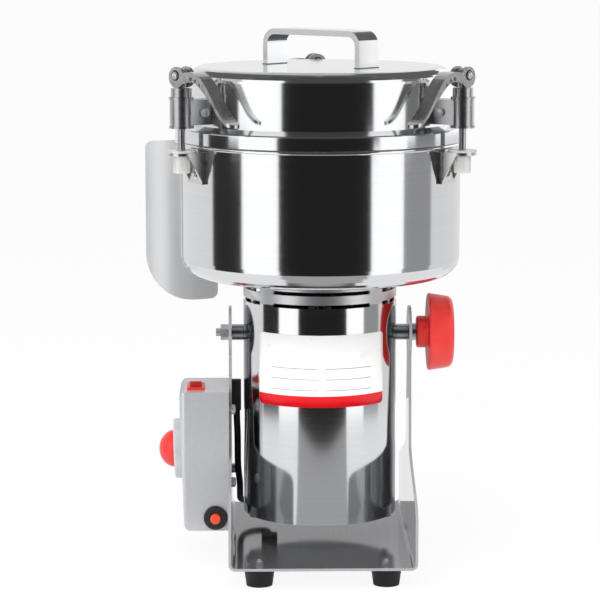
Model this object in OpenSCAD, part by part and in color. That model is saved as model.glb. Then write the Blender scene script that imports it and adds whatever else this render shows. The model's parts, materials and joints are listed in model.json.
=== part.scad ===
// Swing-type electric spice grinder.
// Millimetres, +Z up, +Y away from the front, origin on the floor under the motor's axis.

/* [Stand] */
// Gap between the motor housing and a side plate
side_gap = 9; // [7.7:0.1:15.7]
// Depth of the base from front to back
stand_d = 210; // [196:1:240]
// Thickness of the bent sheet
sheet_t = 2; // [1.5:0.1:2.6]
// Inside radius of the two bends
bend_r = 3; // [2:0.5:6]
// Height of the pivot above the floor
pivot_z = 170.3; // [166:0.1:176]
// Radius of the round ears at the pivot
ear_r = 20; // [16:0.5:24]
// Height up to which the side plates keep the full depth
low_plate_z = 50; // [42:1:56]
// Height at which the side plates have narrowed to the strip
strip_z = 88; // [80:1:96]
// Width of the strip at its foot
strip_w = 36; // [32:1:44]
// Width of the strip just under the ear
neck_w = 26; // [22:1:30]

/* [Feet] */
// Height of a rubber foot
foot_h = 13; // [10:0.5:16]
// Diameter of a foot at the base plate
foot_top_d = 22.5; // [20:0.5:26]
// Diameter of a foot at the floor
foot_bottom_d = 19; // [16:0.5:22]
// Spacing of the feet across the width
foot_span_x = 92; // [80:1:100]
// Spacing of the feet along the depth
foot_span_y = 184; // [160:1:186]
// Diameter of the foot screws
foot_screw_d = 3; // [2.5:0.5:4]

/* [Control box] */
// Depth of the box from front to back
box_d = 60; // [58:1:70]
// Height of the box's underside above the floor
box_z = 24.7; // [20:0.1:28]
// Height of the box
box_h = 105.3; // [102:0.1:112]
// Reach of the box from the side plate at its foot
box_reach = 33.6; // [31:0.1:40]
// How much further the box reaches at its top
box_flare = 3.6; // [0:0.1:6]
// Wall of the box
box_wall = 1.6; // [1.2:0.1:2.2]
// Radius of the box's outer edges
box_edge_r = 5; // [3:0.5:7]
// Diameter of the screws that hold the box
box_screw_d = 4; // [3:0.5:5]

/* [Switch] */
// Width of the switch's bezel
bezel_w = 13; // [12.5:0.1:17]
// Length of the switch's bezel
bezel_l = 21.5; // [21:0.1:25]
// Distance of the switch from the side plate
switch_reach = 24.7; // [22:0.1:25]
// Distance of the switch in front of the box's middle
switch_front = 10; // [4:0.5:14]
// Width of the rocker
rocker_w = 8.4; // [8:0.1:9.6]
// Length of the rocker
rocker_l = 15.8; // [14:0.1:16.4]
// Angle between the rocker's two settings
rocker_throw = 22; // [14:1:24]

/* [Timer] */
// Height of the timer above the floor
timer_z = 81.7; // [76:0.1:86]
// Diameter of the dial plate
dial_d = 45; // [40:0.5:50]
// Thickness of the dial plate
dial_t = 5.9; // [3:0.1:8]
// Diameter of the timer knob
timer_knob_d = 28; // [24:0.5:34]
// Height of the timer knob
timer_knob_h = 12; // [9:0.5:16]
// Diameter of the timer's works inside the box
timer_body_d = 38; // [30:1:42]
// Length of the timer's works
timer_body_l = 18; // [12:1:22]
// Diameter of the timer's spindle
spindle_d = 6; // [5:0.5:8]

/* [Reset breaker] */
// Distance of the reset button from the side plate
reset_reach = 10.2; // [10:0.1:14]
// Height of the reset button above the box's underside
reset_rise = 10.2; // [10:0.1:14]
// Diameter of the black ring round the reset button
reset_ring_d = 17.8; // [15:0.1:18.2]
// How far the ring stands out of the box
reset_ring_t = 3.5; // [2:0.1:5]
// Diameter of the reset button
reset_button_d = 7.8; // [6:0.1:9]
// How far the reset button stands out of its ring
reset_proud = 3.6; // [3.2:0.1:5]
// Travel of the reset button
reset_travel = 3; // [2:0.1:3]

/* [Cord gland] */
// Bore of the mains cord gland
gland_bore_d = 7; // [6:0.5:9]
// Size of the gland's hexagon across its corners
gland_hex_d = 19; // [17:0.5:22]
// Height of the gland above the box's underside
gland_rise = 22; // [18:1:26]

/* [Motor housing] */
// Outside diameter of the motor housing
motor_d = 114.6; // [110:0.1:116]
// Height of the housing's lower edge above the floor
motor_z = 34.8; // [33:0.1:38]
// Length of the motor housing
motor_h = 180.2; // [176:0.1:184]
// Wall of the motor housing
motor_wall = 1.5; // [1:0.1:2]
// Height of the lower row of vent slots above the housing's lower edge
vent_low_rise = 162.8; // [160:0.1:165]
// Height of the upper row of vent slots above the housing's lower edge
vent_high_rise = 172.2; // [170:0.1:173]
// Height of a vent slot
vent_h = 2.8; // [2:0.1:4]
// Width of the bridges between vent slots
vent_bridge_w = 13.5; // [10:0.5:18]

/* [Label] */
// Height of the label's lower edge above the housing's lower edge
label_rise = 88.5; // [80:0.5:95]
// Height of the label
label_h = 53.5; // [40:0.5:60]
// Half of the angle that the label wraps
label_half_angle = 52; // [40:1:60]
// Thickness of the label
label_t = 0.3; // [0.2:0.05:0.5]

/* [Pivot] */
// Diameter of the pivot studs
stud_d = 6; // [5:0.5:8]
// Diameter of the pivot spacers
spacer_d = 12; // [11:0.5:14]
// Size of the left nut across its corners
nut_d = 12; // [11.5:0.5:15]
// Thickness of the left nut
nut_t = 5.9; // [5:0.1:7]
// How far the left stud stands out of its nut
stud_proud = 3.5; // [2:0.5:6]
// Thickness of the washer under the lock knob
washer_t = 3.7; // [2:0.1:5]
// Diameter of the lock knob's hub
knob_hub_d = 24; // [20:0.1:26]
// Length of the lock knob's hub
knob_hub_l = 8.4; // [6:0.1:12]
// Diameter of the lock knob's head at its inner face
knob_d = 58.5; // [50:0.5:64]
// Diameter of the lock knob's head at its outer face
knob_face_d = 52.5; // [44:0.5:56]
// Thickness of the lock knob's head
knob_t = 19.7; // [14:0.1:22]

/* [Motor inside] */
// Diameter of the motor shaft
shaft_d = 10; // [8:0.5:11]
// Diameter of the shaft's lower journal
journal_d = 8; // [6:0.5:8]
// Diameter of the rotor
rotor_d = 50; // [44:1:52]
// Length of the rotor and stator cores
core_l = 56; // [48:1:60]
// Height of the cores above the housing's lower edge
core_rise = 53; // [50:1:56]
// Gap between the rotor and the stator
air_gap = 0.6; // [0.4:0.1:1]
// Length of the windings past the cores
winding_l = 9; // [6:0.5:11]
// Diameter of the commutator
commutator_d = 26; // [22:1:30]
// Diameter of the cooling fan
fan_d = 92; // [80:1:98]
// Diameter of the through bolts
bolt_d = 4; // [3:0.5:4]
// Outside diameter of the upper bearing
upper_bearing_d = 26; // [24:1:28]
// Width of the upper bearing
upper_bearing_w = 8; // [7:0.5:9]
// Outside diameter of the lower bearing
lower_bearing_d = 22; // [19:1:24]
// Width of the lower bearing
lower_bearing_w = 7; // [6:0.5:8]

/* [Motor lead] */
// Diameter of the motor lead
lead_d = 5; // [4:0.1:5.4]
// Height of the lead's hole in the left plate
lead_hole_z = 124; // [121:0.5:125]

/* [Bowl] */
// Outside diameter of the bowl
bowl_d = 208; // [204:0.5:210]
// Height of the bowl
bowl_h = 100.9; // [96:0.1:106]
// Wall of the bowl
bowl_wall = 1.5; // [1.2:0.1:2]
// Radius of the bowl's lower corner
bowl_corner_r = 15; // [10:0.5:18]
// Reach of the bowl's rim past its wall
rim_reach = 3.6; // [2.5:0.1:4.5]
// Thickness of the bowl's rim
rim_t = 3; // [2:0.2:4]

/* [Blades] */
// Gap between the lower blade's tips and the bowl
blade_tip_gap = 8.5; // [7.5:0.5:22.5]
// How much shorter an arm is than that of the blade below it
blade_taper = 12; // [0:0.5:15]
// Width of the blades
blade_w = 24; // [20:1:28]
// Thickness of the blades
blade_t = 2.5; // [2:0.1:3]
// Distance from one blade to the next
blade_step = 13; // [10:0.5:14]

/* [Lid] */
// Height of the lid's lower band
band_h = 10; // [8:0.1:10.4]
// Height of the lid
lid_h = 53.6; // [50:0.1:60]
// Step from the lid's band in to its upper part
lid_step = 10.6; // [9.6:0.1:12.6]
// Wall of the lid
lid_wall = 1.5; // [1.2:0.1:2]
// Radius of the lid's shoulder
shoulder_r = 8.5; // [6:0.5:11]

/* [Handle] */
// Distance between the handle's legs
handle_span = 89; // [80:0.5:100]
// Height of the handle above the lid
handle_h = 26.9; // [24:0.1:34]
// Width of the handle's strap
handle_w = 22; // [18:0.5:26]
// Thickness of the handle's strap
handle_t = 4.3; // [3:0.1:5]
// Outer radius of the handle's corners
handle_r = 11; // [8:0.5:13]
// Turn of the handle from the width, towards the front right
handle_turn = 42; // [0:1:90]

/* [Clamps] */
// Gap between the lid and a clamp barrel
clamp_gap = 10.8; // [10:0.05:13.25]
// Diameter of a clamp barrel
barrel_d = 18; // [17.2:0.1:19]
// Height of a clamp barrel
barrel_h = 22.3; // [20:0.1:24]
// Height of the barrels above the lid's lower edge
barrel_rise = 12.4; // [12:0.1:14]
// Width of a clamp saddle
saddle_w = 15; // [12:0.5:17]
// Diameter of a clamp bush
bush_d = 15; // [12:0.5:17]
// Height of a clamp bush
bush_h = 6.4; // [5:0.1:8]
// Diameter of a clamp rod
rod_d = 5.2; // [4.6:0.1:6]
// Diameter of a lever pin
pin_d = 4; // [3:0.1:5]
// Diameter of a cup's flange
cup_flange_d = 21; // [19:0.5:23]
// Thickness of a cup's flange
cup_flange_t = 1.5; // [1:0.1:2.2]
// Diameter of a cup's body
cup_d = 12.5; // [11:0.1:13]
// Length of a cup's body
cup_l = 14.8; // [13:0.1:17]
// Height of a hook bracket
bracket_h = 23; // [20:0.5:26]
// Width of a hook bracket
bracket_w = 22; // [20:0.5:24]
// Sheet of a hook bracket
bracket_t = 2; // [1.6:0.1:2.4]

/* [Levers] */
// Horizontal reach of a lever from its pin
lever_reach = 57; // [52:0.1:60]
// Drop of a lever's tip under its pin
lever_drop = 34; // [30:0.5:36]
// Width of a lever
lever_w = 11.5; // [11:0.1:13]
// Thickness of a lever's strip
lever_t = 2.4; // [2:0.1:3]
// Thickness of a lever's cheeks
cheek_t = 2; // [1.6:0.1:2.2]
// Radius of a lever's cam
cam_r = 7.6; // [7:0.1:8]
// Offset of the cam's centre from the pin
cam_offset = 1.5; // [1.2:0.1:1.8]
// Angle of the cam's offset past straight down at rest
cam_lead = 30; // [20:1:35]

/* [Guard] */
// Thickness of the guard's sheet
guard_t = 1.5; // [1:0.1:2]
// Radius of the guard's sweep away from the bowl
guard_r = 45; // [40:1:50]
// Angle of the guard's sweep
guard_sweep = 79; // [60:1:84]
// Height of the guard's lower edge above the floor
guard_z = 186; // [180:1:196]
// Height of the guard's top edge under the bowl's rim, at the bowl
guard_top_drop = 11.5; // [8:0.5:14]
// Radius of the guard's big lower corner
guard_corner_r = 36; // [25:1:42]

/* [Clearances] */
// Radial clearance of a shaft, pin or stud in its hole
run_gap = 0.05; // [0.02:0.01:0.09]
// Clearance between pieces that move past each other
part_gap = 0.3; // [0.2:0.05:0.5]
// Clearance between curved pieces that are fixed together
fit_gap = 0.1; // [0.05:0.01:0.2]

/* [Hidden] */
$fn = 64;

// Colours as the photograph shows them
STEEL = [0.78, 0.79, 0.81];
SHEET_STEEL = [0.72, 0.73, 0.75];
DARK_STEEL = [0.35, 0.35, 0.37];
BOX_GREY = [0.73, 0.73, 0.75];
DIAL_GREY = [0.62, 0.63, 0.65];
RED = [0.92, 0.2, 0.18];
ORANGE_RED = [0.9, 0.28, 0.12];
BLACK = [0.07, 0.07, 0.08];
WHITE = [0.94, 0.94, 0.93];
COPPER = [0.72, 0.4, 0.2];
CARBON = [0.2, 0.2, 0.2];

// Overlap of the shapes that make one piece, reach of a cut past its surface, and play of a shaft in a wall
sink = 0.5;
cut = 1;
wide_gap = 2;

// Stand
motor_r = motor_d / 2;
plate_in_x = motor_r + side_gap;
plate_x = plate_in_x + sheet_t;
stand_w = 2 * plate_x;
base_top_z = foot_h + sheet_t;
outline_steps = 24;

// Foot fasteners
foot_head_h = 2.5;
foot_head_d = foot_screw_d * 1.8;
foot_recess = 5.5;
foot_nut_t = foot_screw_d * 0.8;
foot_nut_d = foot_screw_d * 1.85;
foot_screw_proud = 1.5;

// Control box
box_top_z = box_z + box_h;
box_slant = atan(box_flare / box_h);
boss_d = 10;
boss_l = 12;
box_screw_head_d = 7.5;
box_screw_head_t = 2;
box_screw_l = 9;
boss_y = box_d / 2 - box_wall - 0.4 * boss_d;
boss_rises = [36, box_h - 14];

// Switch
bezel_t = 2;
switch_wall = 1.3;
rocker_play = 1.2;
switch_body_w = rocker_w + 2 * part_gap + 2 * switch_wall;
switch_body_l = rocker_l + 2 * rocker_play + 2 * switch_wall;
switch_body_h = 18;
rocker_high = 4.4;
rocker_mid = 2.9;
rocker_low = 1.2;
rocker_pivot_z = box_top_z + 0.2;
rocker_pin_d = 2.4;
rocker_pin_l = 0.8;
rocker_well = 5;

// Timer
timer_face_x = -plate_x - box_reach - box_flare * (timer_z - box_z) / box_h;
dial_dish = 0.8;
dial_lip = 3;
spindle_in = 8;
spindle_out = timer_knob_h * 0.6;
dome_steps = 16;

// Reset breaker
reset_x = -plate_x - reset_reach;
reset_z = box_z + reset_rise;
breaker_body_w = 14;
breaker_body_l = 33;
breaker_neck_d = 11;
reset_button_in = 7;
reset_play = 0.15;

// Cord gland
gland_x = -plate_x - box_reach / 2;
gland_z = box_z + gland_rise;
gland_hex_t = 5;
gland_dome_l = 11;
gland_dome_d = 13;
gland_inside_l = 7;
gland_thread_d = 12.5;

// Motor
motor_in_r = motor_r - motor_wall;
motor_top_z = motor_z + motor_h;
bridge_angles = [45, 135, 225, 315];
cover_t = 3;
cover_top_z = motor_z + cover_t;
lower_boss_r = lower_bearing_d / 2 + 4;
lower_bearing_z = cover_top_z + 4;
journal_well = 2;
top_plate_t = 5;
top_plate_z = motor_top_z - top_plate_t;
upper_boss_h = 11;
upper_boss_wall = 3.5;
upper_bearing_z = top_plate_z - 7;
core_z = motor_z + core_rise;
core_top_z = core_z + core_l;
stator_in_r = rotor_d / 2 + air_gap;
bolt_angles = [20, 160, 200, 340];
bolt_ring_r = motor_in_r - bolt_d / 2 - 1;
bolt_head_d = 7;
bolt_head_t = 1.6;
bolt_in = 2.9;
bolt_hole_l = 4;
rotor_slots = 12;
commutator_z = core_z - winding_l - 20;
commutator_l = 16;
brush_z = commutator_z + commutator_l / 2;
brush_w = 7;
brush_wall = 1.6;
brush_out = 38;
brush_post_in = 26;
fan_z = core_top_z + winding_l + 30;
fan_plate_t = 1.6;
fan_blade_h = 16;
fan_blade_t = 1.4;
fan_blades = 12;
fan_hub_l = 6;
fan_hub_wall = 5;

// Pivot
stud_pad_d = 18;
stud_pad_t = 3;
stud_pad_x = sqrt(pow(motor_in_r, 2) - pow(stud_pad_d / 2, 2)) - part_gap;
nut_x = plate_x + part_gap;
washer_x = plate_x + part_gap;
washer_d = 13;
knob_x = washer_x + washer_t + part_gap;
knob_edge_r = 1.2;
knob_face_r = 5;
knob_crown = 1.2;
knob_bore_l = knob_hub_l + knob_t * 0.6;
stud_in_knob = knob_bore_l - 1;

// Bowl and its floor
bowl_r = bowl_d / 2;
bowl_in_r = bowl_r - bowl_wall;
band_r = bowl_r + rim_reach;
bowl_z = motor_top_z;
floor_z = bowl_z + bowl_wall;
rim_z = bowl_z + bowl_h;
seal_flange_d = 38;
seal_flange_t = 2;
bowl_screw_ring_r = 38;
bowl_screw_d = 4;
bowl_screw_head_d = 8;
bowl_screw_head_t = 2;
bowl_screws_n = 4;

// Blades
lower_arm_l = bowl_in_r - blade_tip_gap;
middle_arm_l = lower_arm_l - blade_taper;
upper_arm_l = middle_arm_l - blade_taper;
blade_turn = 60;
hub_d = 20;
hub_z = floor_z + seal_flange_t + part_gap;
first_blade_z = hub_z + 4.2;
blade_top_z = first_blade_z + 2 * blade_step + blade_t;
blade_nut_t = 8;
shaft_proud = 3;

// Lid
lid_gap = part_gap;
lid_z = rim_z + lid_gap;
lid_top_z = lid_z + lid_h;
lid_r = band_r - lid_step;
band_top_z = lid_z + band_h;
band_rise = 2.5;
band_edge_r = 1.5;
gasket_lip = 6;
gasket_w = 4.4;

// Clamps: azimuth round the axis, and the turn of the lever from it
CLAMP_LEFT = [210, 105];
CLAMP_RIGHT = [330, -105];
CLAMP_BACK = [90, 105];
CLAMPS = [CLAMP_LEFT, CLAMP_RIGHT, CLAMP_BACK];
clamp_r = lid_r + clamp_gap + barrel_d / 2;
barrel_z = lid_z + barrel_rise;
barrel_rim_t = 1.5;
barrel_body_d = barrel_d - 1.4;
barrel_top_z = barrel_z + barrel_h;
saddle_inset = 2.2;
saddle_screw_x = (lid_r - clamp_r - barrel_d / 2) / 2;
saddle_screw_d = 4;
saddle_head_d = 6.6;
saddle_head_t = 2;
bush_top_z = barrel_top_z + bush_h;
pin_z = bush_top_z + cam_r + cam_offset * cos(cam_lead) + part_gap;
eye_w = lever_w - 2 * cheek_t - 2 * part_gap;
eye_d = pin_d + 5.2;
pin_proud = 0.8;
pin_head_d = pin_d + 1.6;
shelf_z = rim_z - rim_t - part_gap - cup_flange_t - bracket_t;
shelf_top_z = shelf_z + bracket_t;
cup_z = shelf_top_z - cup_l;
cup_floor = 1.3;
cup_bore_d = rod_d + 2 * part_gap;
rod_drop = 2.1;
rod_z = cup_z + cup_floor + rod_drop + part_gap;
gusset_t = 2;
gusset_foot = 2;
rivet_d = 4;
rivet_head_d = 6.4;
rivet_head_t = 1.8;
bracket_rivet_drops = [6, 17];

// Levers: a strip along a curve from the pin to the tip, with cheeks under its first part
strip_curve = [
    [cam_r + 0.3, 0.8],
    [lever_reach * 0.58, cam_r + 0.8],
    [lever_reach * 0.63, -lever_drop * 0.91],
    [lever_reach, -lever_drop]
];
strip_steps = 20;
cheek_end = 0.62;
cheek_steps = 12;
cheek_depth = 0.85 * cam_r;
lightening_d = 3.4;
lightening_ts = [0.12, 0.22, 0.32];

// Guard
guard_flange_angle = 16;
guard_start_angle = 136;
guard_flange_r = bowl_r + fit_gap + guard_t / 2;
guard_flange_z = bowl_z + bowl_corner_r + 2;
guard_flange_top_z = rim_z - rim_t - 1;
guard_top_rise = 4;
guard_small_r = 5;
guard_rivet_angle = guard_start_angle - guard_flange_angle * 0.6;
guard_rivet_zs = [guard_flange_z + 12, guard_flange_top_z - 12];

// Motor lead, from its grommet in the left gap to its boot under the motor
grommet_h = 23;
grommet_w = 13;
grommet_t = 7;
grommet_hole_d = 11;
grommet_z = lead_hole_z - 12.6;
lead_x = -plate_in_x + grommet_t / 2 + 0.2;
boot_x = 19.3 - motor_r;
boot_y = 34;
boot_z = 25.5;
boot_l = 17;
boot_w = 12;
boot_h = 3.6;
LEAD_ROUTE = [
    [lead_x, 0, grommet_z - fit_gap],
    [lead_x, 0, 104],
    [lead_x + 0.4, 2, 97],
    [lead_x + 0.6, 4.5, 88],
    [lead_x + 0.6, 8, 78],
    [lead_x + 0.6, 12, 68],
    [lead_x + 1.1, 17, 59],
    [lead_x + 2.1, 23, 50],
    [lead_x + 2.1, 31, 42.5],
    [lead_x + 2.1, 39, 36.5],
    [lead_x + 2.1, 46, 31.5],
    [lead_x + 5.6, 54, 28.5],
    [boot_x - 11, 57, boot_z + 1.5],
    [boot_x - 3, 54, boot_z + 0.5],
    [boot_x, 46, boot_z],
    [boot_x, boot_y + part_gap, boot_z]
];
lead_sides = 8;

// Points of an arc, both ends included
function arc(centre, r, from, to, steps = 8) =
    [for (i = [0:steps]) let(a = from + (to - from) * i / steps) centre + r * [cos(a), sin(a)]];

// Points that round the corner at q, between p and s, to the radius r
function corner(p, q, s, r) =
    let(
        u = (p - q) / norm(p - q),
        v = (s - q) / norm(s - q),
        half = acos(u * v) / 2,
        centre = q + (u + v) / norm(u + v) * r / sin(half),
        first = q + u * r / tan(half) - centre,
        last = q + v * r / tan(half) - centre,
        from = atan2(first.y, first.x),
        turn = (atan2(last.y, last.x) - from + 540) % 360 - 180
    )
    arc(centre, r, from, from + turn);

// Outline through [x, y, radius] corners
function rounded(corners) =
    let(n = len(corners))
    [for (i = [0:n - 1])
        let(
            before = corners[(i + n - 1) % n],
            here = corners[i],
            after = corners[(i + 1) % n],
            p = [before.x, before.y],
            q = [here.x, here.y],
            s = [after.x, after.y]
        )
        each here.z > 0 ? corner(p, q, s, here.z) : [q]];

// Point of a cubic curve
function curve(c, t) =
    pow(1 - t, 3) * c[0] + 3 * t * pow(1 - t, 2) * c[1] + 3 * t * t * (1 - t) * c[2] + pow(t, 3) * c[3];

// Unit normal of a cubic curve, to the left of its run
function curve_normal(c, t) =
    let(
        along = pow(1 - t, 2) * (c[1] - c[0]) + 2 * t * (1 - t) * (c[2] - c[1]) + t * t * (c[3] - c[2]),
        unit = along / norm(along)
    )
    [-unit.y, unit.x];

// Point at a depth under the middle of a lever's strip
function under_strip(t, depth) = curve(strip_curve, t) - curve_normal(strip_curve, t) * depth;

// Depth of a lever's cheek under the middle of its strip
function cheek_drop(t) = cheek_depth * sqrt(1 - t / cheek_end);

// Half width of a side plate at a height
function plate_half(z) =
    z <= low_plate_z ? stand_d / 2
    : z <= strip_z
        ? strip_w / 2 + (stand_d - strip_w) / 4 * (1 + cos(180 * (z - low_plate_z) / (strip_z - low_plate_z)))
    : neck_w / 2
        + (strip_w - neck_w) / 4 * (1 + cos(min(180, 180 * (z - strip_z) / (pivot_z - ear_r - strip_z))));

// Round tube swept along a route that never runs along X
module swept_tube(route, r, sides) {
    last = len(route) - 1;
    rings = [for (i = [0:last])
        let(
            along = route[min(i + 1, last)] - route[max(i - 1, 0)],
            across = cross(along, [1, 0, 0]),
            u = across / norm(across),
            w = cross(along, u),
            v = w / norm(w)
        )
        for (k = [0:sides - 1])
            route[i] + r * (cos(360 * k / sides) * u + sin(360 * k / sides) * v)];
    walls = [for (i = [0:last - 1], k = [0:sides - 1])
        let(a = i * sides + k, b = i * sides + (k + 1) % sides)
        each [[a, b, b + sides], [a, b + sides, a + sides]]];
    ends = [
        [for (k = [0:sides - 1]) sides - 1 - k],
        [for (k = [0:sides - 1]) last * sides + k]
    ];
    polyhedron(points = rings, faces = concat(walls, ends), convexity = 6);
}

module rise(z) { translate([0, 0, z]) children(); }

module ring(outer_r, inner_r, h) {
    difference() {
        cylinder(h = h, r = outer_r);
        rise(-cut) cylinder(h = h + 2 * cut, r = inner_r);
    }
}

// A shape drawn as (Y, Z), extruded along X
module across_x(width) { rotate([90, 0, 90]) linear_extrude(width, center = true) children(); }

// A shape drawn as (X, Z), extruded along Y
module along_y(depth) { rotate([90, 0, 0]) linear_extrude(depth, center = true) children(); }

// Local +Z along the pivot, outwards on the given side, from a distance off the axis
module on_pivot(side, x) { translate([side * x, 0, pivot_z]) rotate([0, side * 90, 0]) children(); }

module at_feet() {
    for (sx = [-1, 1], sy = [-1, 1]) translate([sx * foot_span_x / 2, sy * foot_span_y / 2, 0]) children();
}

module at_box_screws() {
    for (side = [-1, 1], boss_rise = boss_rises)
        translate([-plate_x, side * boss_y, box_z + boss_rise]) rotate([0, -90, 0]) children();
}

// Local +Z out of the box's slanted face, local +X up it
module at_timer() { translate([timer_face_x, 0, timer_z]) rotate([0, -90 - box_slant, 0]) children(); }

// Local +Z out of the box's front
module at_reset() { translate([reset_x, -box_d / 2, reset_z]) rotate([90, 0, 0]) children(); }

// Local +Z out of the box's back
module at_gland() { translate([gland_x, box_d / 2, gland_z]) rotate([-90, 0, 0]) children(); }

module at_switch(z) { translate([-plate_x - switch_reach, -switch_front, z]) children(); }

// Local +X outwards from the axis at a clamp
module at_clamp(clamp) { rotate([0, 0, clamp[0]]) translate([clamp_r, 0, 0]) children(); }

// Local +X along the lever, at its pin
module at_lever(clamp) { at_clamp(clamp) rise(pin_z) rotate([0, 0, clamp[1]]) children(); }

module at_bracket_rivets() {
    for (clamp = CLAMPS, drop = bracket_rivet_drops)
        rotate([0, 0, clamp[0]]) rise(shelf_top_z - drop) rotate([0, 90, 0]) children();
}

module at_saddle_screws() {
    for (clamp = CLAMPS) at_clamp(clamp)
        translate([saddle_screw_x, 0, barrel_z + barrel_h / 2]) rotate([90, 0, 0]) children();
}

module at_guard_rivets() {
    for (z = guard_rivet_zs) rotate([0, 0, guard_rivet_angle]) rise(z) rotate([0, 90, 0]) children();
}

module at_bowl_screws() {
    for (i = [0:bowl_screws_n - 1])
        rotate([0, 0, 360 * i / bowl_screws_n]) translate([bowl_screw_ring_r, 0, 0]) children();
}

module at_bolts() { for (a = bolt_angles) rotate([0, 0, a]) translate([bolt_ring_r, 0, 0]) children(); }

module side_outline() {
    heights = [for (i = [0:outline_steps]) low_plate_z + (pivot_z - low_plate_z) * i / outline_steps];
    right = [for (z = heights) [plate_half(z), z]];
    left = [for (i = [0:outline_steps]) let(z = heights[outline_steps - i]) [-plate_half(z), z]];
    polygon(concat([[stand_d / 2, 0]], right, left, [[-stand_d / 2, 0]]));
    translate([0, pivot_z]) circle(r = ear_r);
}

// Outline of an upright trough with round lower corners
module trough(half, bottom, top, r) {
    polygon(rounded([[-half, bottom, r], [half, bottom, r], [half, top, 0], [-half, top, 0]]));
}

module stand_frame() color(SHEET_STEEL) {
    top = pivot_z + ear_r + 1;
    difference() {
        intersection() {
            along_y(stand_d) difference() {
                trough(plate_x, foot_h, top, bend_r + sheet_t);
                trough(plate_in_x, base_top_z, top + 1, bend_r);
            }
            across_x(stand_w + 2) side_outline();
        }
        for (side = [-1, 1]) on_pivot(side, plate_in_x - 1)
            cylinder(h = sheet_t + 2, d = stud_d + 2 * run_gap);
        at_feet() cylinder(h = base_top_z + 1, d = foot_screw_d + 2 * fit_gap);
        at_box_screws() rise(-sheet_t - 1) cylinder(h = sheet_t + 2, d = box_screw_d + 2 * fit_gap);
        translate([-plate_x - 1, 0, lead_hole_z]) rotate([0, 90, 0])
            cylinder(h = sheet_t + 2, d = grommet_hole_d + 2 * fit_gap);
    }
}

module rubber_feet() color(BLACK) at_feet() difference() {
    cylinder(h = foot_h, d1 = foot_bottom_d, d2 = foot_top_d);
    rise(-cut) cylinder(h = foot_h + 2 * cut, d = foot_screw_d + 2 * fit_gap);
    rise(-cut) cylinder(h = foot_recess + cut, d = foot_head_d + 2 * part_gap);
}

module foot_fasteners() color(STEEL) at_feet() {
    rise(foot_recess - foot_head_h) cylinder(h = foot_head_h, d = foot_head_d);
    rise(foot_recess - sink)
        cylinder(h = base_top_z + foot_nut_t + foot_screw_proud - foot_recess + sink, d = foot_screw_d);
    rise(base_top_z) difference() {
        cylinder(h = foot_nut_t, d = foot_nut_d, $fn = 6);
        rise(-cut) cylinder(h = foot_nut_t + 2 * cut, d = foot_screw_d + 2 * fit_gap);
    }
}

// The box, or its hollow, shrunk by an inset on every side but the plate's
module box_block(inset) {
    bottom = box_z + inset;
    top = box_top_z - inset;
    edge = box_edge_r - inset;
    foot_x = -plate_x - box_reach + inset;
    head_x = foot_x - box_flare;
    half = box_d / 2 - inset;
    near_x = -plate_x + (inset > 0 ? 1 : 0);
    intersection() {
        along_y(box_d) polygon(rounded([
            [near_x, bottom, 0], [near_x, top, 0], [head_x, top, edge], [foot_x, bottom, edge]
        ]));
        linear_extrude(box_top_z + 1) polygon(rounded([
            [near_x, -half, 0], [near_x, half, 0], [head_x, half, edge], [head_x, -half, edge]
        ]));
    }
}

module control_box() color(BOX_GREY) difference() {
    union() {
        difference() {
            box_block(0);
            box_block(box_wall);
        }
        at_box_screws() cylinder(h = boss_l, d = boss_d);
    }
    at_box_screws() rise(-cut) cylinder(h = box_screw_l + 2 * cut, d = box_screw_d + 2 * fit_gap);
    at_timer() rise(-3 * box_wall) cylinder(h = 6 * box_wall, d = spindle_d + 2 * wide_gap);
    at_reset() rise(-2 * box_wall) cylinder(h = 4 * box_wall, d = breaker_neck_d + 2 * fit_gap);
    at_gland() rise(-2 * box_wall) cylinder(h = 4 * box_wall, d = gland_thread_d + 2 * fit_gap);
    at_switch(box_top_z)
        cube([switch_body_w + 2 * fit_gap, switch_body_l + 2 * fit_gap, 4 * box_wall], center = true);
}

module box_screws() color(STEEL) at_box_screws() {
    rise(-sheet_t - box_screw_head_t) cylinder(h = box_screw_head_t, d = box_screw_head_d);
    rise(-sheet_t - sink) cylinder(h = box_screw_l + sheet_t + sink, d = box_screw_d);
}

module switch_housing() color(RED) difference() {
    at_switch(box_top_z) union() {
        translate([-bezel_w / 2, -bezel_l / 2, 0]) cube([bezel_w, bezel_l, bezel_t]);
        translate([-switch_body_w / 2, -switch_body_l / 2, -switch_body_h])
            cube([switch_body_w, switch_body_l, switch_body_h + sink]);
    }
    at_switch(rocker_pivot_z) {
        well_w = rocker_w + 2 * part_gap;
        well_l = rocker_l + 2 * rocker_play;
        translate([-well_w / 2, -well_l / 2, -rocker_well]) cube([well_w, well_l, rocker_well + 10]);
        rotate([0, 90, 0]) cylinder(
            h = rocker_w + 2 * rocker_pin_l + 2 * fit_gap, d = rocker_pin_d + 2 * run_gap, center = true);
    }
}

// Drawn level, then set to its rest with the front end up
module rocker() color(RED) at_switch(rocker_pivot_z) rotate([-rocker_throw / 2, 0, 0]) {
    half = rocker_l / 2;
    across_x(rocker_w) polygon([
        [-half, rocker_high], [0, rocker_mid], [half, rocker_high],
        [half - 0.5, -rocker_low], [0.5 - half, -rocker_low]
    ]);
    rotate([0, 90, 0]) cylinder(h = rocker_w + 2 * rocker_pin_l, d = rocker_pin_d, center = true);
}

module timer_dial() color(DIAL_GREY) at_timer() difference() {
    rotate_extrude() polygon(rounded([
        [0, 0, 0], [dial_d / 2, 0, 0], [dial_d / 2, dial_t, 1.5], [dial_d / 2 - dial_lip, dial_t, 0.5],
        [dial_d / 2 - dial_lip - 0.6, dial_t - dial_dish, 0], [0, dial_t - dial_dish, 0]
    ]));
    rise(-cut) cylinder(h = dial_t + 2 * cut, d = spindle_d + 2 * wide_gap);
}

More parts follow.
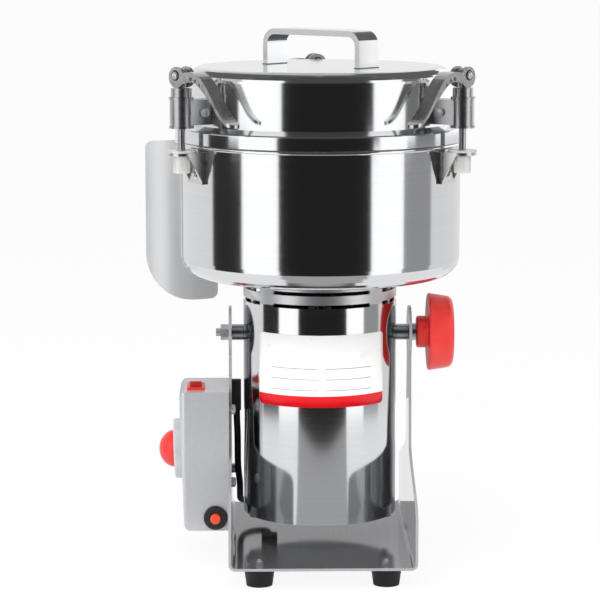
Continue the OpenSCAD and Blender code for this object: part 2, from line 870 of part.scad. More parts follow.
module timer_body() color(BLACK) at_timer() rise(-box_wall - fit_gap - timer_body_l) difference() {
    cylinder(h = timer_body_l, d = timer_body_d);
    rise(timer_body_l - spindle_in - cut) cylinder(h = spindle_in + 2 * cut, d = spindle_d + 2 * run_gap);
}

module timer_knob() {
    knob_floor = dial_t - dial_dish + part_gap;
    dome = [
        for (i = [0:dome_steps])
            let(a = 90 * i / dome_steps) [timer_knob_d / 2 * cos(a), timer_knob_h * sin(a)]
    ];
    color(RED) at_timer() rise(knob_floor) difference() {
        rotate_extrude() polygon(concat([[0, 0]], dome));
        rise(-cut) cylinder(h = spindle_out + cut, d = spindle_d + 2 * fit_gap);
    }
    color(STEEL) at_timer() rise(-box_wall - spindle_in)
        cylinder(h = box_wall + spindle_in + knob_floor + spindle_out - fit_gap, d = spindle_d);
}

module breaker_body() color(BLACK) at_reset() difference() {
    union() {
        rotate_extrude() polygon(rounded([
            [0, 0, 0], [reset_ring_d / 2, 0, 0], [reset_ring_d / 2, reset_ring_t, 1], [0, reset_ring_t, 0]
        ]));
        rise(-box_wall - sink) cylinder(h = box_wall + 2 * sink, d = breaker_neck_d);
        translate([-breaker_body_w / 2, -breaker_body_w / 2, -box_wall - breaker_body_l])
            cube([breaker_body_w, breaker_body_w, breaker_body_l]);
    }
    rise(-reset_button_in - reset_travel - 1)
        cylinder(h = reset_button_in + reset_travel + reset_ring_t + 2, d = reset_button_d + 2 * reset_play);
}

module reset_button() color(ORANGE_RED) at_reset() rise(-reset_button_in) rotate_extrude()
    polygon(rounded([
        [0, 0, 0], [reset_button_d / 2, 0, 0],
        [reset_button_d / 2, reset_button_in + reset_ring_t + reset_proud, 1.2],
        [0, reset_button_in + reset_ring_t + reset_proud, 0]
    ]));

module cord_gland() color(BLACK) at_gland() difference() {
    union() {
        cylinder(h = gland_hex_t, d = gland_hex_d, $fn = 6);
        rise(gland_hex_t - sink) cylinder(h = gland_dome_l + sink, d1 = gland_dome_d + 2, d2 = gland_dome_d);
        rise(-box_wall - gland_inside_l) cylinder(h = box_wall + gland_inside_l + sink, d = gland_thread_d);
    }
    rise(-box_wall - gland_inside_l - 1)
        cylinder(h = box_wall + gland_inside_l + gland_hex_t + gland_dome_l + 2, d = gland_bore_d);
}

module lead_grommet() color(BLACK) {
    translate([-plate_in_x + grommet_t / 2, 0, 0]) across_x(grommet_t) polygon(rounded([
        [-grommet_w / 2, grommet_z, 2], [grommet_w / 2, grommet_z, 2],
        [grommet_w / 2, grommet_z + grommet_h, 5], [-grommet_w / 2, grommet_z + grommet_h, 5]
    ]));
    translate([-plate_x, 0, lead_hole_z]) rotate([0, 90, 0])
        cylinder(h = sheet_t + sink, d = grommet_hole_d);
}

module motor_housing() color(STEEL) difference() {
    rise(motor_z) ring(motor_r, motor_in_r, motor_h);
    for (vent_rise = [vent_low_rise, vent_high_rise]) rise(motor_z + vent_rise) difference() {
        rise(-vent_h / 2) ring(motor_r + 1, motor_in_r - 1, vent_h);
        for (a = bridge_angles) rotate([0, 0, a]) translate([motor_r, 0, 0])
            cube([4 * motor_wall + 4, vent_bridge_w, 2 * vent_h], center = true);
    }
    for (side = [-1, 1]) on_pivot(side, motor_in_r - 2 * cut)
        cylinder(h = motor_wall + 4 * cut, d = stud_d + 2 * fit_gap);
}

module label_plate() color(WHITE)
    rise(motor_z + label_rise) rotate([0, 0, -90 - label_half_angle])
        rotate_extrude(angle = 2 * label_half_angle)
            translate([motor_r + fit_gap, 0]) square([label_t, label_h]);

module motor_top_plate() color(DARK_STEEL) difference() {
    union() {
        rise(top_plate_z) cylinder(h = top_plate_t, r = motor_in_r - fit_gap);
        rise(top_plate_z - upper_boss_h)
            cylinder(h = upper_boss_h + 1, d = upper_bearing_d + 2 * upper_boss_wall);
    }
    rise(upper_bearing_z) cylinder(h = motor_top_z - upper_bearing_z + 1, d = upper_bearing_d + 2 * fit_gap);
    rise(top_plate_z - upper_boss_h - cut) cylinder(h = upper_boss_h + 2 * cut, d = shaft_d + 2 * wide_gap);
    at_bowl_screws() rise(top_plate_z - cut)
        cylinder(h = top_plate_t + 2 * cut, d = bowl_screw_d + 2 * fit_gap);
    at_bolts() rise(top_plate_z - cut) cylinder(h = bolt_hole_l + cut, d = bolt_d + 2 * fit_gap);
}

module motor_bottom_cover() color(DARK_STEEL) difference() {
    union() {
        rise(motor_z) cylinder(h = cover_t, r = motor_in_r - fit_gap);
        rise(motor_z + cut)
            cylinder(h = lower_bearing_z + lower_bearing_w - motor_z, r = lower_boss_r);
    }
    rise(lower_bearing_z) cylinder(h = lower_bearing_w + 2, d = lower_bearing_d + 2 * fit_gap);
    rise(lower_bearing_z - journal_well) cylinder(h = journal_well + cut, d = journal_d + 2 * wide_gap);
    at_bolts() rise(motor_z - cut) cylinder(h = cover_t + 2 * cut, d = bolt_d + 2 * fit_gap);
}

module through_bolts() color(STEEL) at_bolts() {
    rise(motor_z - bolt_head_t) cylinder(h = bolt_head_t, d = bolt_head_d);
    rise(motor_z - sink) cylinder(h = top_plate_z + bolt_in + sink - motor_z, d = bolt_d);
}

module stator_core() color(DARK_STEEL) difference() {
    rise(core_z) ring(motor_in_r - fit_gap, stator_in_r, core_l);
    at_bolts() rise(core_z - cut) cylinder(h = core_l + 2 * cut, d = bolt_d + 2 * part_gap);
}

module stator_windings() color(COPPER) for (z = [core_z - winding_l, core_top_z]) rise(z)
    rotate_extrude() polygon(rounded([
        [stator_in_r + 3, 0, 2], [motor_in_r - 8, 0, 2],
        [motor_in_r - 8, winding_l, 2], [stator_in_r + 3, winding_l, 2]
    ]));

module upper_bearing() color(STEEL) rise(upper_bearing_z)
    ring(upper_bearing_d / 2, shaft_d / 2 + run_gap, upper_bearing_w);

module lower_bearing() color(STEEL) rise(lower_bearing_z)
    ring(lower_bearing_d / 2, journal_d / 2 + run_gap, lower_bearing_w);

module brush_holders() color(DARK_STEEL) for (side = [0, 180]) rotate([0, 0, side]) difference() {
    sleeve_w = brush_w + 2 * brush_wall;
    inner_y = commutator_d / 2 + 2;
    union() {
        translate([-sleeve_w / 2, inner_y, brush_z - sleeve_w / 2])
            cube([sleeve_w, brush_out - inner_y, sleeve_w]);
        translate([-sleeve_w / 2, brush_post_in, cover_top_z])
            cube([sleeve_w, brush_out - brush_post_in, brush_z - cover_top_z]);
    }
    translate([-brush_w / 2 - fit_gap, inner_y - 1, brush_z - brush_w / 2 - fit_gap])
        cube([brush_w + 2 * fit_gap, brush_out - inner_y, brush_w + 2 * fit_gap]);
}

module carbon_brushes() color(CARBON) for (side = [0, 180]) rotate([0, 0, side])
    translate([-brush_w / 2, commutator_d / 2 + part_gap, brush_z - brush_w / 2])
        cube([brush_w, brush_post_in + 4 - commutator_d / 2, brush_w]);

module pivot_studs() color(STEEL) for (side = [-1, 1]) {
    end_x = side < 0 ? nut_x + nut_t + stud_proud : knob_x + stud_in_knob;
    on_pivot(side, stud_pad_x - stud_pad_t) cylinder(h = stud_pad_t, d = stud_pad_d);
    on_pivot(side, stud_pad_x - sink) cylinder(h = end_x - stud_pad_x + sink, d = stud_d);
}

module pivot_spacers() color(DARK_STEEL) {
    for (side = [-1, 1]) on_pivot(side, motor_r)
        ring(spacer_d / 2, stud_d / 2 + run_gap, plate_in_x - part_gap - motor_r);
    on_pivot(1, washer_x) ring(washer_d / 2, stud_d / 2 + run_gap, washer_t);
}

module pivot_nut() color(STEEL) on_pivot(-1, nut_x) difference() {
    cylinder(h = nut_t, d = nut_d, $fn = 6);
    rise(-cut) cylinder(h = nut_t + 2 * cut, d = stud_d + 2 * run_gap);
}

module lock_knob() color(RED) on_pivot(1, knob_x) difference() {
    rotate_extrude() polygon(rounded([
        [0, 0, 0], [knob_hub_d / 2, 0, 1.5], [knob_hub_d / 2, knob_hub_l, 1],
        [knob_d / 2, knob_hub_l, knob_edge_r],
        [knob_face_d / 2, knob_hub_l + knob_t - knob_crown, knob_face_r], [0, knob_hub_l + knob_t, 0]
    ]));
    rise(-cut) cylinder(h = knob_bore_l + cut, d = stud_d + 2 * run_gap);
}

module bowl() color(STEEL) difference() {
    inner_corner_r = bowl_corner_r - bowl_wall;
    centre = [bowl_r - bowl_corner_r, bowl_z + bowl_corner_r];
    rotate_extrude($fn = 128) polygon(concat(
        [[0, bowl_z]],
        arc(centre, bowl_corner_r, -90, 0),
        [[bowl_r, rim_z - rim_t]],
        arc([band_r - rim_t / 2, rim_z - rim_t / 2], rim_t / 2, -90, 90),
        [[bowl_in_r, rim_z]],
        arc(centre, inner_corner_r, 0, -90),
        [[0, floor_z]]
    ));
    rise(bowl_z - cut) cylinder(h = bowl_wall + 2 * cut, d = upper_bearing_d + 2 * fit_gap);
    at_bowl_screws() rise(bowl_z - cut) cylinder(h = bowl_wall + 2 * cut, d = bowl_screw_d + 2 * fit_gap);
    at_bracket_rivets() rise(bowl_in_r - 2) cylinder(h = bowl_wall + 4, d = rivet_d + 2 * fit_gap);
    at_guard_rivets() rise(bowl_in_r - 2) cylinder(h = bowl_wall + 4, d = rivet_d + 2 * fit_gap);
}

module bowl_screws() color(STEEL) at_bowl_screws() {
    rise(floor_z) cylinder(h = bowl_screw_head_t, d1 = bowl_screw_head_d, d2 = bowl_screw_head_d - 2);
    rise(top_plate_z) cylinder(h = floor_z - top_plate_z + sink, d = bowl_screw_d);
}

module shaft_seal() color(BLACK) difference() {
    seal_z = upper_bearing_z + upper_bearing_w;
    union() {
        rise(seal_z) cylinder(h = floor_z - seal_z + 1, d = upper_bearing_d);
        rise(floor_z) cylinder(h = seal_flange_t, d1 = seal_flange_d, d2 = seal_flange_d - 3);
    }
    rise(seal_z - cut) cylinder(h = floor_z - seal_z + seal_flange_t + 2 * cut, d = shaft_d + 2 * run_gap);
}

module hook_brackets() color(SHEET_STEEL) difference() {
    back_x = bowl_r - clamp_r - 1;
    front_x = bowl_r - clamp_r + fit_gap + bracket_t;
    for (clamp = CLAMPS) at_clamp(clamp) {
        translate([back_x, -bracket_w / 2, shelf_top_z - bracket_h])
            cube([front_x - back_x, bracket_w, bracket_h]);
        translate([back_x, -cup_flange_d / 2, shelf_z]) cube([-back_x, cup_flange_d, bracket_t]);
        rise(shelf_z) cylinder(h = bracket_t, d = cup_flange_d);
        for (side = [-1, 1]) translate([0, side * (cup_flange_d - gusset_t) / 2, 0]) along_y(gusset_t)
            polygon([
                [back_x, shelf_z + sink], [0, shelf_z + sink],
                [front_x, shelf_top_z - bracket_h + gusset_foot],
                [back_x, shelf_top_z - bracket_h + gusset_foot]
            ]);
    }
    cylinder(h = rim_z + 1, r = bowl_r + fit_gap, $fn = 128);
    for (clamp = CLAMPS) at_clamp(clamp) rise(shelf_z - cut)
        cylinder(h = bracket_t + 2 * cut, d = cup_d + 2 * fit_gap);
    at_bracket_rivets() rise(bowl_r - 2) cylinder(h = bracket_t + 6, d = rivet_d + 2 * fit_gap);
}

// Rivets of the hook brackets and of the guard, flush inside the bowl
module bowl_rivets() color(STEEL) {
    bracket_face = bowl_r + fit_gap + bracket_t;
    guard_face = bowl_r + fit_gap + guard_t;
    at_bracket_rivets() rivet(bracket_face);
    at_guard_rivets() rivet(guard_face);
}

module rivet(face) {
    rise(bowl_in_r + 0.3) cylinder(h = face - bowl_in_r, d = rivet_d);
    rise(face) cylinder(h = rivet_head_t, d1 = rivet_head_d, d2 = rivet_head_d * 0.6);
}

module clamp_cups() color(WHITE) for (clamp = CLAMPS) at_clamp(clamp) difference() {
    union() {
        rise(cup_z) cylinder(h = cup_l + sink, d = cup_d);
        rise(shelf_top_z) cylinder(h = cup_flange_t, d = cup_flange_d);
    }
    rise(cup_z + cup_floor) cylinder(h = cup_l + cup_flange_t, d = cup_bore_d);
}

module powder_guard() color(SHEET_STEEL) difference() {
    sweep_centre = (guard_flange_r + guard_r) * [cos(guard_start_angle), sin(guard_start_angle)];
    start = guard_flange_r * [cos(guard_start_angle), sin(guard_start_angle)];
    end_angle = guard_start_angle + 180 - guard_sweep;
    end = sweep_centre + guard_r * [cos(end_angle), sin(end_angle)];
    right_x = guard_flange_r * cos(guard_start_angle - guard_flange_angle) + 2;
    top = rim_z - guard_top_drop;
    intersection() {
        union() {
            rotate([0, 0, guard_start_angle - guard_flange_angle])
                rotate_extrude(angle = guard_flange_angle + 0.5)
                    translate([guard_flange_r - guard_t / 2, 0]) square([guard_t, rim_z]);
            translate(sweep_centre) rotate([0, 0, end_angle]) rotate_extrude(angle = guard_sweep)
                translate([guard_r - guard_t / 2, 0]) square([guard_t, rim_z]);
        }
        along_y(4 * bowl_r) polygon(rounded([
            [end.x - guard_t / 3, top + guard_top_rise, 6], [end.x - guard_t / 3, guard_z, guard_corner_r],
            [start.x - 2, guard_z, guard_small_r], [start.x - 2, guard_flange_z, 0],
            [right_x, guard_flange_z, 4], [right_x, guard_flange_top_z, 4],
            [start.x - 2, guard_flange_top_z, 0]
        ]));
    }
    at_guard_rivets() rise(bowl_r - 2) cylinder(h = guard_t + 4, d = rivet_d + 2 * fit_gap);
}

module lead_boot() color(BLACK) translate([boot_x, boot_y, 0]) across_x(boot_w) polygon(rounded([
    [0, boot_z - boot_h, 1.5], [0, boot_z + boot_h, 1.5], [-boot_l * 0.3, motor_z, 0],
    [-boot_l, motor_z, 0], [-boot_l, boot_z - boot_h, 4]
]));

module motor_lead() color(BLACK) swept_tube(LEAD_ROUTE, lead_d / 2, lead_sides);

module motor_shaft() color(STEEL) {
    shoulder_z = lower_bearing_z + lower_bearing_w + 1;
    top = blade_top_z + blade_nut_t + shaft_proud;
    rise(lower_bearing_z - cut) cylinder(h = shoulder_z - lower_bearing_z + 2 * cut, d = journal_d);
    rise(shoulder_z) cylinder(h = top - shoulder_z, d = shaft_d);
}

module rotor_core() {
    color(DARK_STEEL) rise(core_z) difference() {
        ring(rotor_d / 2, shaft_d / 2 + run_gap, core_l);
        for (i = [0:rotor_slots - 1]) rotate([0, 0, 360 * i / rotor_slots])
            translate([rotor_d / 2 - 1, -1, -1]) cube([3, 2, core_l + 2]);
    }
    color(COPPER) for (z = [core_z - winding_l, core_top_z]) rise(z)
        ring(rotor_d / 2 - 3, shaft_d / 2 + run_gap, winding_l);
}

module commutator() color(COPPER) rise(commutator_z)
    ring(commutator_d / 2, shaft_d / 2 + run_gap, commutator_l);

module cooling_fan() color(BLACK) rise(fan_z) {
    blade_in_r = upper_bearing_d / 2 + upper_boss_wall + 3;
    ring(fan_d / 2, shaft_d / 2 + run_gap, fan_plate_t);
    rise(-fan_hub_l) ring(shaft_d / 2 + fan_hub_wall, shaft_d / 2 + run_gap, fan_hub_l + sink);
    for (i = [0:fan_blades - 1]) rotate([0, 0, 360 * i / fan_blades])
        translate([blade_in_r, -fan_blade_t / 2, fan_plate_t - sink])
            cube([fan_d / 2 - blade_in_r - 1, fan_blade_t, fan_blade_h]);
}

// Flat two-armed blade with a cutting edge ground along one side of each arm
module blade(half, z, turn) {
    rise(z) rotate([0, 0, turn]) difference() {
        linear_extrude(blade_t) polygon(rounded([
            [-half, -blade_w / 2, 2], [-hub_d * 0.7, -blade_w / 2, 6], [hub_d * 0.7, -blade_w / 3, 6],
            [half, -blade_w / 4, 2], [half, blade_w / 2, 2], [hub_d * 0.7, blade_w / 2, 6],
            [-hub_d * 0.7, blade_w / 3, 6], [-half, blade_w / 4, 2]
        ]));
        rise(-cut) cylinder(h = blade_t + 2 * cut, d = shaft_d + 2 * run_gap);
        for (arm = [0, 180]) rotate([0, 0, arm]) translate([hub_d, blade_w / 2, blade_t]) rotate([30, 0, 0])
            translate([0, -blade_w / 5, 0]) cube([half, blade_w, blade_w]);
    }
}

module lower_blade() color(STEEL) blade(lower_arm_l, first_blade_z, 0);

module middle_blade() color(STEEL) blade(middle_arm_l, first_blade_z + blade_step, blade_turn);

module upper_blade() color(STEEL) blade(upper_arm_l, first_blade_z + 2 * blade_step, 2 * blade_turn);

module blade_spacers() color(STEEL) {
    rise(hub_z) ring(hub_d / 2, shaft_d / 2 + run_gap, first_blade_z - hub_z);
    for (i = [0, 1]) rise(first_blade_z + i * blade_step + blade_t)
        ring(hub_d / 2, shaft_d / 2 + run_gap, blade_step - blade_t);
}

module blade_nut() color(STEEL) rise(blade_top_z) difference() {
    cylinder(h = blade_nut_t, d = hub_d - 1, $fn = 6);
    rise(-cut) cylinder(h = blade_nut_t + 2 * cut, d = shaft_d + 2 * run_gap);
}

module lid_shell() color(STEEL) {
    out_centre = [lid_r - shoulder_r, lid_top_z - shoulder_r];
    in_r = lid_r - lid_wall;
    rotate_extrude($fn = 128) polygon(concat(
        [[band_r, lid_z]],
        arc([band_r - band_edge_r, band_top_z - band_edge_r], band_edge_r, 0, 70),
        [[lid_r, band_top_z + band_rise]],
        arc(out_centre, shoulder_r, 0, 90),
        [[0, lid_top_z], [0, lid_top_z - lid_wall]],
        arc(out_centre, shoulder_r - lid_wall, 90, 0),
        [[in_r, band_top_z + band_rise - lid_wall]],
        [[band_r - lid_wall, band_top_z - lid_wall], [band_r - lid_wall, lid_z]]
    ));
}

module lid_gasket() color(WHITE) {
    top = band_top_z - lid_wall - part_gap;
    lip_r = bowl_in_r - 2 * part_gap;
    rotate_extrude($fn = 128) polygon([
        [lip_r - gasket_w, rim_z - gasket_lip], [lip_r, rim_z - gasket_lip], [lip_r, lid_z],
        [band_r - lid_wall - fit_gap, lid_z], [band_r - lid_wall - fit_gap, top], [lip_r - gasket_w, top]
    ]);
}

module lid_handle() color(STEEL)
    rotate([0, 0, -handle_turn]) rise(lid_top_z) along_y(handle_w) handle_outline();

module handle_outline() difference() {
    half = (handle_span + handle_t) / 2;
    translate([-half, 0]) polygon(rounded([
        [0, 0, 0], [2 * half, 0, 0], [2 * half, handle_h, handle_r], [0, handle_h, handle_r]
    ]));
    polygon(rounded([
        [handle_t - half, -1, 0], [half - handle_t, -1, 0],
        [half - handle_t, handle_h - handle_t, handle_r - handle_t],
        [handle_t - half, handle_h - handle_t, handle_r - handle_t]
    ]));
}

module clamp_saddles() color(STEEL) difference() {
    for (clamp = CLAMPS) at_clamp(clamp)
        translate([lid_r - clamp_r - 1, -saddle_w / 2, barrel_z + saddle_inset])
            cube([clamp_r - lid_r + 1, saddle_w, barrel_h - 2 * saddle_inset]);
    cylinder(h = lid_top_z + 1, r = lid_r + fit_gap, $fn = 128);
    for (clamp = CLAMPS) at_clamp(clamp) rise(barrel_z - cut)
        cylinder(h = barrel_h + 2 * cut, d = barrel_body_d + 2 * fit_gap);
    at_saddle_screws() cylinder(h = saddle_w + 2, d = saddle_screw_d + 2 * fit_gap, center = true);
}

// One screw through each saddle, with a head at one side and a nut at the other
module saddle_screws() color(STEEL) at_saddle_screws() {
    cylinder(h = saddle_w + saddle_head_t, d = saddle_screw_d, center = true);
    for (side = [0, 180]) rotate([side, 0, 0]) rise(saddle_w / 2)
        cylinder(h = saddle_head_t, d = saddle_head_d);
}

module clamp_barrels() color(STEEL) for (clamp = CLAMPS) at_clamp(clamp) rise(barrel_z) {
    ring(barrel_body_d / 2, rod_d / 2 + run_gap, barrel_h);
    for (z = [0, barrel_h - barrel_rim_t]) rise(z)
        ring(barrel_d / 2, barrel_body_d / 2 - sink, barrel_rim_t);
}

module clamp_bushes() color(STEEL) for (clamp = CLAMPS) at_clamp(clamp) rise(barrel_top_z)
    ring(bush_d / 2, rod_d / 2 + run_gap, bush_h);

module clamp_rod(clamp) color(STEEL) at_lever(clamp) difference() {
    union() {
        rise(rod_z - pin_z) cylinder(h = pin_z - rod_z, d = rod_d);
        rotate([90, 0, 0]) cylinder(h = eye_w, d = eye_d, center = true);
    }
    rotate([90, 0, 0]) cylinder(h = eye_w + 2, d = pin_d + 2 * run_gap, center = true);
}

module clamp_rod_left() clamp_rod(CLAMP_LEFT);

module clamp_rod_right() clamp_rod(CLAMP_RIGHT);

module clamp_rod_back() clamp_rod(CLAMP_BACK);

module lever_strip() {
    ts = [for (i = [0:strip_steps]) i / strip_steps];
    back = [for (i = [0:strip_steps]) ts[strip_steps - i]];
    polygon(concat(
        [for (t = ts) curve(strip_curve, t) - curve_normal(strip_curve, t) * lever_t / 2],
        [for (t = back) curve(strip_curve, t) + curve_normal(strip_curve, t) * lever_t / 2]
    ));
}

module lever_cheek() {
    ts = [for (i = [0:cheek_steps]) cheek_end * i / cheek_steps];
    back = [for (i = [1:cheek_steps]) ts[cheek_steps - i]];
    difference() {
        union() {
            translate(cam_offset * [sin(cam_lead), -cos(cam_lead)]) circle(r = cam_r);
            polygon(concat(
                [[0, strip_curve[0].y]],
                [for (t = ts) curve(strip_curve, t)],
                [for (t = back) under_strip(t, cheek_drop(t))],
                [[0, strip_curve[0].y - cheek_depth]]
            ));
        }
        circle(d = pin_d + 2 * run_gap);
        for (t = lightening_ts)
            translate(under_strip(t, (lever_t / 2 + cheek_drop(t)) / 2)) circle(d = lightening_d * (1 - t));
    }
}

// The lever and the pin that is pressed into its cheeks
module clamp_lever(clamp) at_lever(clamp) {
    color(STEEL) {
        intersection() {
            along_y(lever_w) lever_strip();
            linear_extrude(4 * lever_drop, center = true) union() {
                translate([-lever_w, -lever_w / 2]) square([lever_reach + lever_w / 2, lever_w]);
                translate([lever_reach - lever_w / 2, 0]) circle(d = lever_w);
            }
        }
        for (side = [-1, 1]) translate([0, side * (lever_w - cheek_t) / 2, 0]) along_y(cheek_t) lever_cheek();
    }
    color(DARK_STEEL) rotate([90, 0, 0]) {
        cylinder(h = lever_w + 2 * pin_proud, d = pin_d, center = true);
        for (side = [0, 180]) rotate([side, 0, 0]) rise(lever_w / 2) cylinder(h = pin_proud, d = pin_head_d);
    }
}

module clamp_lever_left() clamp_lever(CLAMP_LEFT);

module clamp_lever_right() clamp_lever(CLAMP_RIGHT);

module clamp_lever_back() clamp_lever(CLAMP_BACK);

stand_frame();
rubber_feet();
foot_fasteners();
control_box();
box_screws();
switch_housing();
timer_dial();
timer_body();
breaker_body();
cord_gland();
lead_grommet();
motor_housing();
label_plate();
motor_top_plate();
motor_bottom_cover();
through_bolts();
stator_core();
stator_windings();
upper_bearing();
lower_bearing();
brush_holders();
carbon_brushes();
pivot_studs();
pivot_spacers();
pivot_nut();
bowl();
bowl_screws();
shaft_seal();
hook_brackets();
bowl_rivets();
clamp_cups();
powder_guard();
lead_boot();
motor_lead();
motor_shaft();
rotor_core();
commutator();
cooling_fan();
lower_blade();
middle_blade();
upper_blade();
blade_spacers();
blade_nut();
lid_shell();
lid_handle();
lid_gasket();
clamp_saddles();
saddle_screws();
clamp_barrels();
clamp_bushes();
clamp_rod_left();
clamp_rod_right();
clamp_rod_back();
clamp_lever_left();
clamp_lever_right();
clamp_lever_back();
lock_knob();
timer_knob();
rocker();
reset_button();
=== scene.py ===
"""Looks of a swing-type electric spice grinder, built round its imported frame.

Metres, +Z up, the front at -Y, the floor at Z = 0 and the motor's axis at X = Y = 0.
"""
import json
import math

import bmesh
import bpy
from mathutils import Matrix, Vector


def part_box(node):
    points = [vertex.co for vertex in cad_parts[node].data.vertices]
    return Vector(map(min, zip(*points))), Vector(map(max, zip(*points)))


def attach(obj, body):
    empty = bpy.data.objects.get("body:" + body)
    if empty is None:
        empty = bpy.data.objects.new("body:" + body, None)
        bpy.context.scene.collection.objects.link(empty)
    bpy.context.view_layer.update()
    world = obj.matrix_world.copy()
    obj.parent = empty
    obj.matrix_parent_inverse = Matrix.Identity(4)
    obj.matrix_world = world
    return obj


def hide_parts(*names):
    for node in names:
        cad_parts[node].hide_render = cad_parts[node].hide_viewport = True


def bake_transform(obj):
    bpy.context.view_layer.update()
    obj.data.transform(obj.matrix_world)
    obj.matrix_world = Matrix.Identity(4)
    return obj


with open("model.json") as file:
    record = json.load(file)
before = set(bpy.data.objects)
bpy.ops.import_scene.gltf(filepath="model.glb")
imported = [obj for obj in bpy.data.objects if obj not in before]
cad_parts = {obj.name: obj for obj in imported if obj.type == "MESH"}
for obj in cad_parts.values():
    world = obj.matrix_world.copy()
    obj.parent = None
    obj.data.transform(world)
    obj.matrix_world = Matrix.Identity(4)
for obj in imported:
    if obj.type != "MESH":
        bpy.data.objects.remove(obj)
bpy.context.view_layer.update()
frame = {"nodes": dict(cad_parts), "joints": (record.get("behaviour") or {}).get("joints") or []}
NODES = frame["nodes"]
JOINTS = {joint["name"]: joint for joint in frame["joints"]}
scene = bpy.context.scene
scene.view_settings.view_transform = "Standard"

# Camera of the photograph
CAMERA_PLACE = (-0.05, -1.85, 0.4767)
CAMERA_PITCH = 8.67
CAMERA_YAW = -1.088
FOCAL_PX = 2495.0
IMAGE_PX = 600.0
SENSOR_MM = 36.0

# Clamp levers: a pin's riveted end and the dark ring round it, which paints the shade of a groove, as
# radius and height along the pin
LEVER_JOINTS = [JOINTS[name] for name in ("lever_left_flip", "lever_right_flip", "lever_back_flip")]
PIN_END = ((0.0022, 0.0064), (0.0022, 0.0068), (0.0016, 0.0071), (0.0006, 0.0072))
PIN_SHADE_RING = ((0.0029, 0.0056), (0.0029, 0.00585), (0.0038, 0.00585), (0.0038, 0.0056))
ROUND_STEPS = 32

# Handle: turn on the lid, spacing and section of its feet, and the beads of their weld
HANDLE_TURN = math.radians(-42.0)
HANDLE_SPAN = 0.089
HANDLE_T = 0.0043
HANDLE_W = 0.022
BEAD_D = 0.0017
BEAD_STEP = 0.45 * BEAD_D
BEAD_FLATNESS = 0.7

# Screws: the ways they face, distances from the motor's axis or the middle, and azimuths round the axis
RIGHT = (1.0, 0.0, 0.0)
UP = (0.0, 0.0, 1.0)
DOWN = (0.0, 0.0, -1.0)
SADDLE_SCREW_R = 0.1024
SADDLE_SCREW_OUT = 0.0095
BOWL_SCREW_R = 0.038
BOWL_SCREW_AZIMUTHS = (0.0, 90.0, 180.0, 270.0)
BOLT_R = 0.0528
BOLT_AZIMUTHS = (20.0, 160.0, 200.0, 340.0)
FOOT_X = 0.046
FOOT_Y = 0.092
BOX_SCREW_Y = 0.0244
BOX_SCREW_ZS = (0.0607, 0.116)

# Screw heads: diameters, and the height and cross recess of a head as shares of its diameter
SADDLE_HEAD_D = 0.0066
BOX_HEAD_D = 0.0075
FOOT_HEAD_D = 0.0052
BOWL_HEAD_D = 0.0060
BOLT_HEAD_D = 0.0070
HEAD_RISE = 0.17
RECESS_WIDTH = 0.13
RECESS_LENGTH = 0.56

# Lower row of vents in the housing, above which it is satin
VENT_Z = 0.1976
NECK_BLEND = 0.0005
NECK_ROUGHNESS = 0.42

# Printed ink, raised a little so that it shows
INK_T = 0.0001

# Timer: marks on the dial, and the index on the domed knob, whose angles rise from the dome's foot
TIMER = JOINTS["timer_turn"]
TIMER_SWEEP = TIMER["range_deg"][1]
TIMER_MINUTES = 30
NUMBER_EVERY = 5
DIAL_FACE = 0.0051
DIAL_TICKS = (0.0178, 0.0190)
DIAL_TICK_W = 0.0004
DIAL_NUMBER_R = 0.0162
DIAL_NUMBER_H = 0.0026
DOME_FOOT = 0.0054
DOME_R = 0.014
DOME_H = 0.012
INDEX_ANGLES = (math.radians(28.0), math.radians(62.0))
INDEX_W = 0.0012
INDEX_PROUD = 0.00008
INDEX_SUNK = 0.0003
INDEX_STEPS = 12

# Rocker: run, rise and middle of its two faces, and the marks on them
ROCKER = JOINTS["rocker_tip"]
ROCKER_TILT = -math.radians(ROCKER["range_deg"][1] / 2)
ROCKER_RUN = 0.0079
ROCKER_RISE = 0.0015
ROCKER_SLOPE = math.atan(ROCKER_RISE / ROCKER_RUN)
ROCKER_FACE_Y = ROCKER_RUN / 2
ROCKER_FACE_Z = 0.00365
ROCKER_MARK_R = 0.0014
ROCKER_RING_BORE = 0.68 * ROCKER_MARK_R
ROCKER_BAR_W = 0.34 * ROCKER_MARK_R

# Ribs on the cord gland's cap, along it from the back of the control box
GLAND_RIBS = 14
GLAND_RIB_INNER = 0.0056
GLAND_RIB_OUTER = 0.0079
GLAND_RIB_W = 0.0011
GLAND_RIB_SPAN = (0.0075, 0.0138)

# Label: arc, rounded corners, colour band and blank fields
LABEL_HALF_ANGLE = math.radians(52.0)
LABEL_CORNER = 0.0032
LABEL_BAND = 0.0084
LABEL_T = 0.0003
LABEL_STEPS = 96
FIELD_T = 0.00004
FIELD_H = 0.0005
FIELD_ZS = (0.0125, 0.0205, 0.0285)
FIELD_SPANS = ((-0.0395, -0.003), (0.003, 0.0395))
FIELD_STEPS = 24

# Motor lead from its grommet to its boot, through the same points as the solid
LEAD_ROUTE = (
    (-0.0626, 0.0, 0.1113),
    (-0.0626, 0.0, 0.104),
    (-0.0622, 0.002, 0.097),
    (-0.062, 0.0045, 0.088),
    (-0.062, 0.008, 0.078),
    (-0.062, 0.012, 0.068),
    (-0.0615, 0.017, 0.059),
    (-0.0605, 0.023, 0.050),
    (-0.0605, 0.031, 0.0425),
    (-0.0605, 0.039, 0.0365),
    (-0.0605, 0.046, 0.0315),
    (-0.057, 0.054, 0.0285),
    (-0.049, 0.057, 0.027),
    (-0.041, 0.054, 0.026),
    (-0.038, 0.046, 0.0255),
    (-0.038, 0.0343, 0.0255),
)
LEAD_D = 0.005


